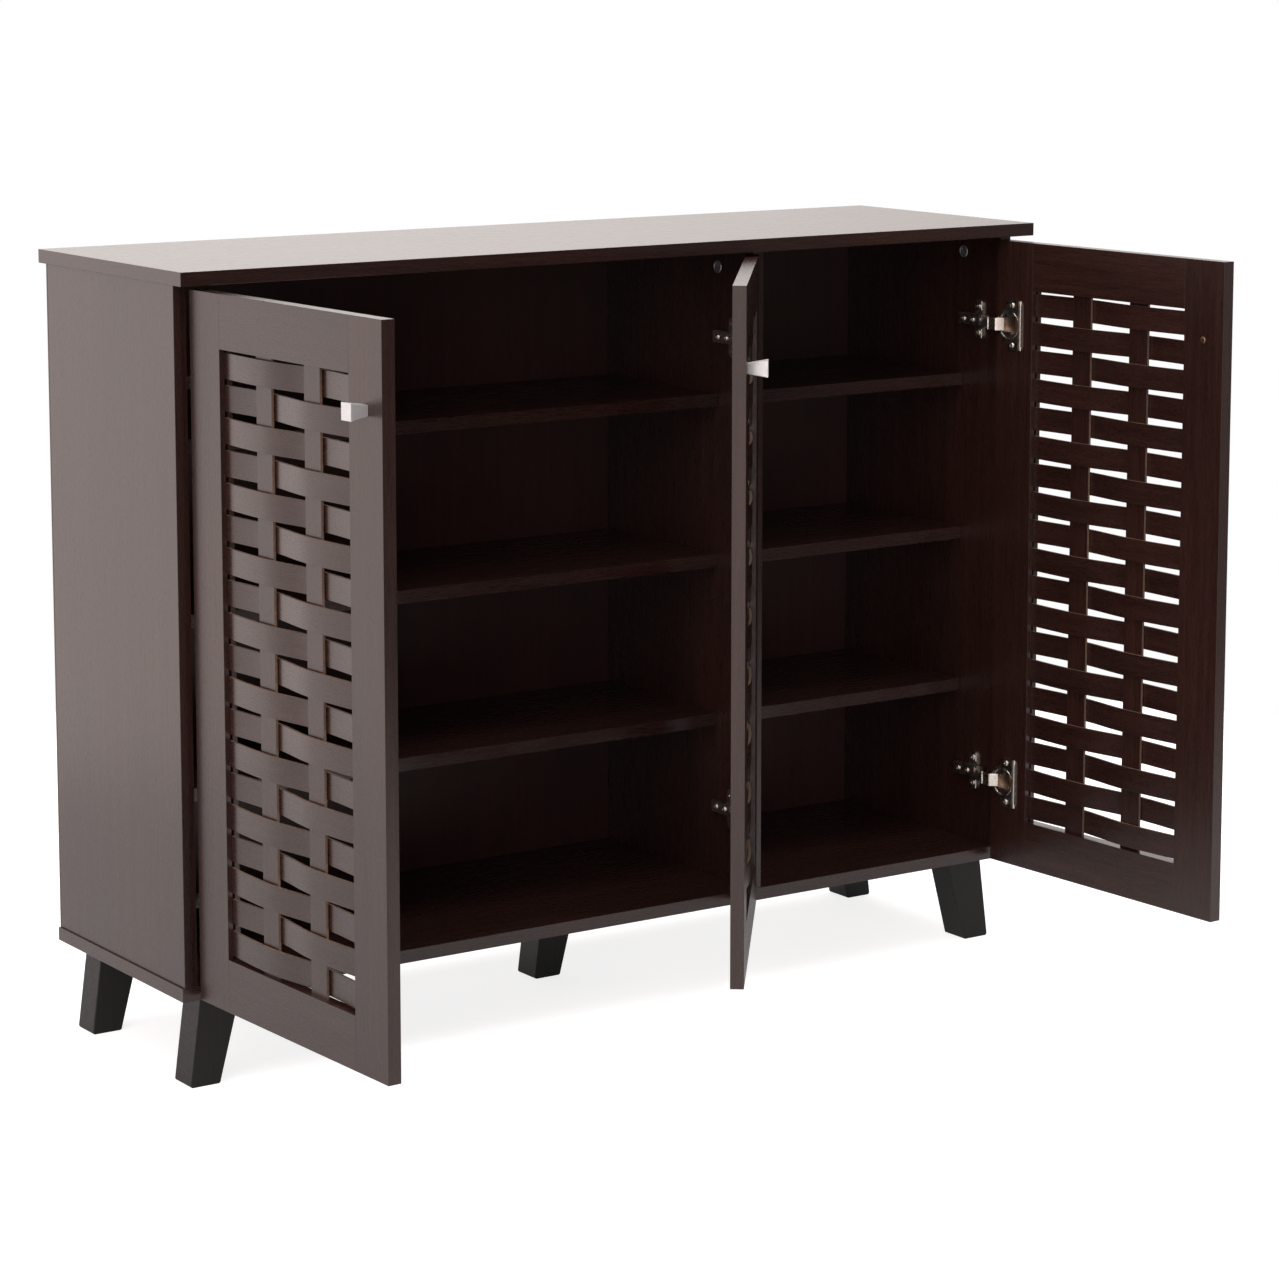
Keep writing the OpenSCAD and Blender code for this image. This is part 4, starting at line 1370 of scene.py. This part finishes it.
@dataclass
class Carcass:
    """The fixed boards, the legs and their fittings.

    Attributes:
        body: body that carries them.
        level: boards whose grain runs along the cabinet.
        upright: boards whose grain runs up.
        backs: the thin back panels.
        legs: the legs.
        hidden: hardware that lies in its bores, and its finish.
        pressed: pressed metal of the hinges, and the width of its eased edges.
        wing: how far a mounting plate's wings begin from its middle.
        lip_from: start of a mounting plate's lip, from the plate's middle.
        lip_to: end of the lip.
        lip_w: width of the lip.
        lip_h: height of the lip.
        sunk: how far the lip sinks into the plate.
    """

    body: str = "carcass"
    level: tuple[str, ...] = (
        "top_panel", "bottom_panel", "left_top_shelf", "left_middle_shelf",
        "left_bottom_shelf", "right_top_shelf", "right_middle_shelf", "right_bottom_shelf")
    upright: tuple[str, ...] = ("left_side", "right_side", "partition")
    backs: tuple[str, ...] = ("left_back_panel", "right_back_panel")
    legs: tuple[str, ...] = ("front_left_leg", "front_right_leg", "rear_left_leg",
                             "rear_right_leg", "centre_leg")
    hidden: tuple[tuple[str, str], ...] = (
        ("cam_bolts", "zinc_plate"), ("top_dowels", "beech"), ("leg_bolts", "zinc_plate"))
    pressed: tuple[tuple[str, float], ...] = (
        ("hinge_plates", 0.35 * MM), ("full_overlay_arms", 0.25 * MM),
        ("half_overlay_arms", 0.25 * MM))
    wing: float = 18.0 * MM
    lip_from: float = 11.5 * MM
    lip_to: float = 22.0 * MM
    lip_w: float = 2.2 * MM
    lip_h: float = 1.3 * MM
    sunk: float = 0.2 * MM

    def build(self) -> None:
        """Makes every fixed board, leg and fitting."""
        for node in self.level:
            Board(node, self.body, "laminate_level").build()
        for node in self.upright:
            Board(node, self.body, "laminate_upright").build()
        for node in self.backs:
            Board(node, self.body, "laminate_back", Slot.BACK, arris=0.3 * MM).build()
        for node in self.legs:
            softened(node, self.body, "leg_paint", 1.3 * MM, 3)
        for node, finish in self.hidden:
            dress(node, finish)
        TurnedSet("shelf_pins", self.body, Slot.HINGE, "nickel", rounded_pin, into_bay,
                  sides=24).build()
        TurnedSet("base_screws", self.body, Slot.ZINC, "zinc_plate",
                  pan_head(3.0 * MM, 0.5), lambda centre: -UP, BASE_CROSS).build()
        TurnedSet("cam_locks", self.body, Slot.CAM, "die_cast_zinc", cam_disc, into_bay,
                  CAM_CROSS, sides=48, roll=1.1).build()
        self.hinges()

    def hinges(self) -> None:
        """Makes the hinge parts that are fixed to the carcass, and the links."""
        for node, ease in self.pressed:
            softened(node, self.body, "nickel", ease)
        TurnedSet("hinge_plate_screws", self.body, Slot.HINGE, "nickel",
                  pan_head(1.6 * MM, 0.5), into_bay, HINGE_CROSS).build()
        TurnedSet("arm_screws", self.body, Slot.HINGE, "nickel", pan_head(1.6 * MM, 0.6),
                  into_bay, ARM_CROSS).build()
        for side in ("left", "middle", "right"):
            softened(side + "_hinge_links", side + "_links", "nickel",
                     0.2 * MM, 1)
        self.wing_lips()

    def wing_lips(self) -> None:
        """Makes the rolled lip along the front edge of each mounting plate's wings."""
        bm, steps = bmesh.new(), 8
        turns = [math.pi * i / steps for i in range(steps + 1)]
        for points in islands("hinge_plates"):
            centre = group_middle(points)
            out = into_bay(centre).x
            wings = [p for p in points if abs(p.z - centre.z) > self.wing]
            surface = max(p.x * out for p in wings)
            front = min(p.y for p in wings)
            for side in (-1.0, 1.0):
                skin_rings(bm, [[bm.verts.new((
                    out * (surface - self.sunk + self.lip_h * math.sin(turn)),
                    front + self.lip_w / 2 * (1.0 + math.cos(turn)),
                    centre.z + side * level)) for turn in turns]
                    for level in (self.lip_from, self.lip_to)])
        piece = piece_from("hinge_plate_lips", bm, "satin_nickel")
        smooth_by_angle(piece)
        settle(piece, self.body)


# ---- studio ----------------------------------------------------------------------------


WHITE = (1.0, 1.0, 1.0)
WARM = (1.0, 0.875, 0.845)
PALE = (1.0, 0.945, 0.915)


def heading(bearing: float, rise: float) -> Vector:
    """Gives a direction.

    Args:
        bearing: degrees clockwise from the back of the cabinet, seen from above.
        rise: degrees above level.

    Returns:
        The direction, of length 1.
    """
    across, up = math.radians(bearing), math.radians(rise)
    return Vector((math.sin(across) * math.cos(up), math.cos(across) * math.cos(up),
                   math.sin(up)))


@dataclass(frozen=True)
class Glow:
    """A soft bright zone of the studio, as seen from the cabinet.

    Attributes:
        bearing: bearing of its middle, in degrees.
        rise: height of its middle, in degrees.
        strength: how bright it is; 1 is white.
        tint: colour of its light.
        inner: cosine of the angle at which it starts to fade.
        outer: cosine of the angle at which it ends.
    """

    bearing: float
    rise: float
    strength: float
    tint: Triple = WARM
    inner: float = 0.985
    outer: float = 0.80


@dataclass
class Studio:
    """Floor, light and camera.

    Attributes:
        base: light that comes from everywhere.
        glows: the bright zones.
        floor_seen: brightness of the floor to the camera.
        floor_mirrored: brightness of the floor in shiny things.
        floor_colour: how much light the floor throws back.
        floor_reach: radius of the floor, in metres.
        eye: place of the camera, in metres.
        yaw: bearing of the camera's view, in degrees.
        pitch: height of the camera's view, in degrees.
        sensor: width of the camera's sensor, in millimetres.
        lens: focal length, in millimetres.
        shift: upward shift of the lens, as a share of the picture.
        far: farthest distance that the camera sees, in metres.
    """

    base: float = 0.02
    glows: tuple[Glow, ...] = (
        Glow(-34.0, 0.0, 1.22),
        Glow(-10.0, 5.0, 0.52),
        Glow(14.0, 5.0, 0.75, PALE),
        Glow(38.0, 8.0, 0.97, PALE),
        Glow(115.0, 8.0, 0.5),
        Glow(214.0, 8.0, 0.9),
        Glow(248.0, 8.0, 1.9),
        Glow(240.0, 40.0, 2.1),
        Glow(0.0, 90.0, 4.95, PALE),
    )
    floor_seen: float = 0.8
    floor_mirrored: float = 0.22
    floor_colour: float = 0.5
    floor_reach: float = 1.9
    eye: Triple = (-2.3402, -3.4272, 1.2371)
    yaw: float = 34.178
    pitch: float = -8.0
    sensor: float = 36.0
    lens: float = 105.60797
    shift: float = -0.15
    far: float = 200.0

    def build(self) -> None:
        """Makes the world, the floor and the camera."""
        self.world()
        self.floor()
        self.camera()
        bpy.context.scene.view_settings.view_transform = "Standard"

    def world(self) -> None:
        """Makes the world: white to the camera, and soft bright zones to the object."""
        world = bpy.data.worlds.new("studio")
        bpy.context.scene.world = world
        world.use_nodes = True
        b = Bench(world.node_tree)
        way = b.add("ShaderNodeTexCoord").outputs["Generated"]
        total = (self.base,) * 3
        for glow in self.glows:
            facing = b.vector("DOT_PRODUCT", way, tuple(heading(glow.bearing, glow.rise)))
            lobe = b.ranged(facing, glow.outer, glow.inner, 0.0, glow.strength)
            total = b.vector("ADD", b.vector("MULTIPLY", lobe, glow.tint), total)
        rays = b.add("ShaderNodeLightPath").outputs
        room = b.add("ShaderNodeBackground", {"Color": total, "Strength": 1.0})
        white = b.add("ShaderNodeBackground", {"Color": shade(WHITE), "Strength": 1.0})
        both = b.add("ShaderNodeMixShader", {0: rays["Is Camera Ray"], 1: room.outputs[0],
                                             2: white.outputs[0]})
        b.add("ShaderNodeOutputWorld", {"Surface": both.outputs[0]})

    def floor_skin(self) -> bpy.types.Material:
        """Makes the floor's material: matt, and brighter to the camera than to the object."""
        material = bpy.data.materials.new("pale_floor")
        material.use_nodes = True
        b = Bench(material.node_tree)
        rays = b.add("ShaderNodeLightPath").outputs
        shiny = b.maths("MAXIMUM", rays["Is Glossy Ray"], rays["Is Transmission Ray"])
        glow = b.add("ShaderNodeEmission", {
            "Color": shade(WHITE), "Strength": b.weighed(rays["Is Camera Ray"],
                                                         self.floor_seen, shiny,
                                                         self.floor_mirrored)})
        matt = b.add("ShaderNodeBsdfDiffuse",
                     {"Color": shade((self.floor_colour,) * 3), "Roughness": 0.0})
        both = b.add("ShaderNodeAddShader", {0: glow.outputs[0], 1: matt.outputs[0]})
        b.add("ShaderNodeOutputMaterial", {"Surface": both.outputs[0]})
        return material

    def floor(self) -> None:
        """Makes the pale floor, which keeps a faint shadow."""
        bm = bmesh.new()
        bmesh.ops.create_circle(bm, cap_ends=True, segments=96, radius=self.floor_reach)
        bmesh.ops.recalc_face_normals(bm, faces=bm.faces)
        mesh = bpy.data.meshes.new("floor")
        bm.to_mesh(mesh)
        bm.free()
        mesh.materials.append(self.floor_skin())
        placed("floor", mesh)

    def camera(self) -> None:
        """Makes the camera."""
        data = bpy.data.cameras.new("camera")
        data.sensor_width, data.lens = self.sensor, self.lens
        data.shift_y, data.clip_end = self.shift, self.far
        camera = bpy.data.objects.new("camera", data)
        bpy.context.scene.collection.objects.link(camera)
        camera.location = self.eye
        view = heading(self.yaw, self.pitch).to_track_quat("-Z", "Y")
        camera.rotation_euler = view.to_euler()
        bpy.context.scene.camera = camera


def main() -> None:
    """Builds the looks and reports each piece."""
    logging.basicConfig(level=logging.INFO, format="%(name)s: %(message)s")
    Studio().build()
    Carcass().build()
    for door in (Door("left", Hand.LEFT), Door("middle", Hand.RIGHT),
                 Door("right", Hand.RIGHT)):
        door.build()


if __name__ == "__main__":
    main()
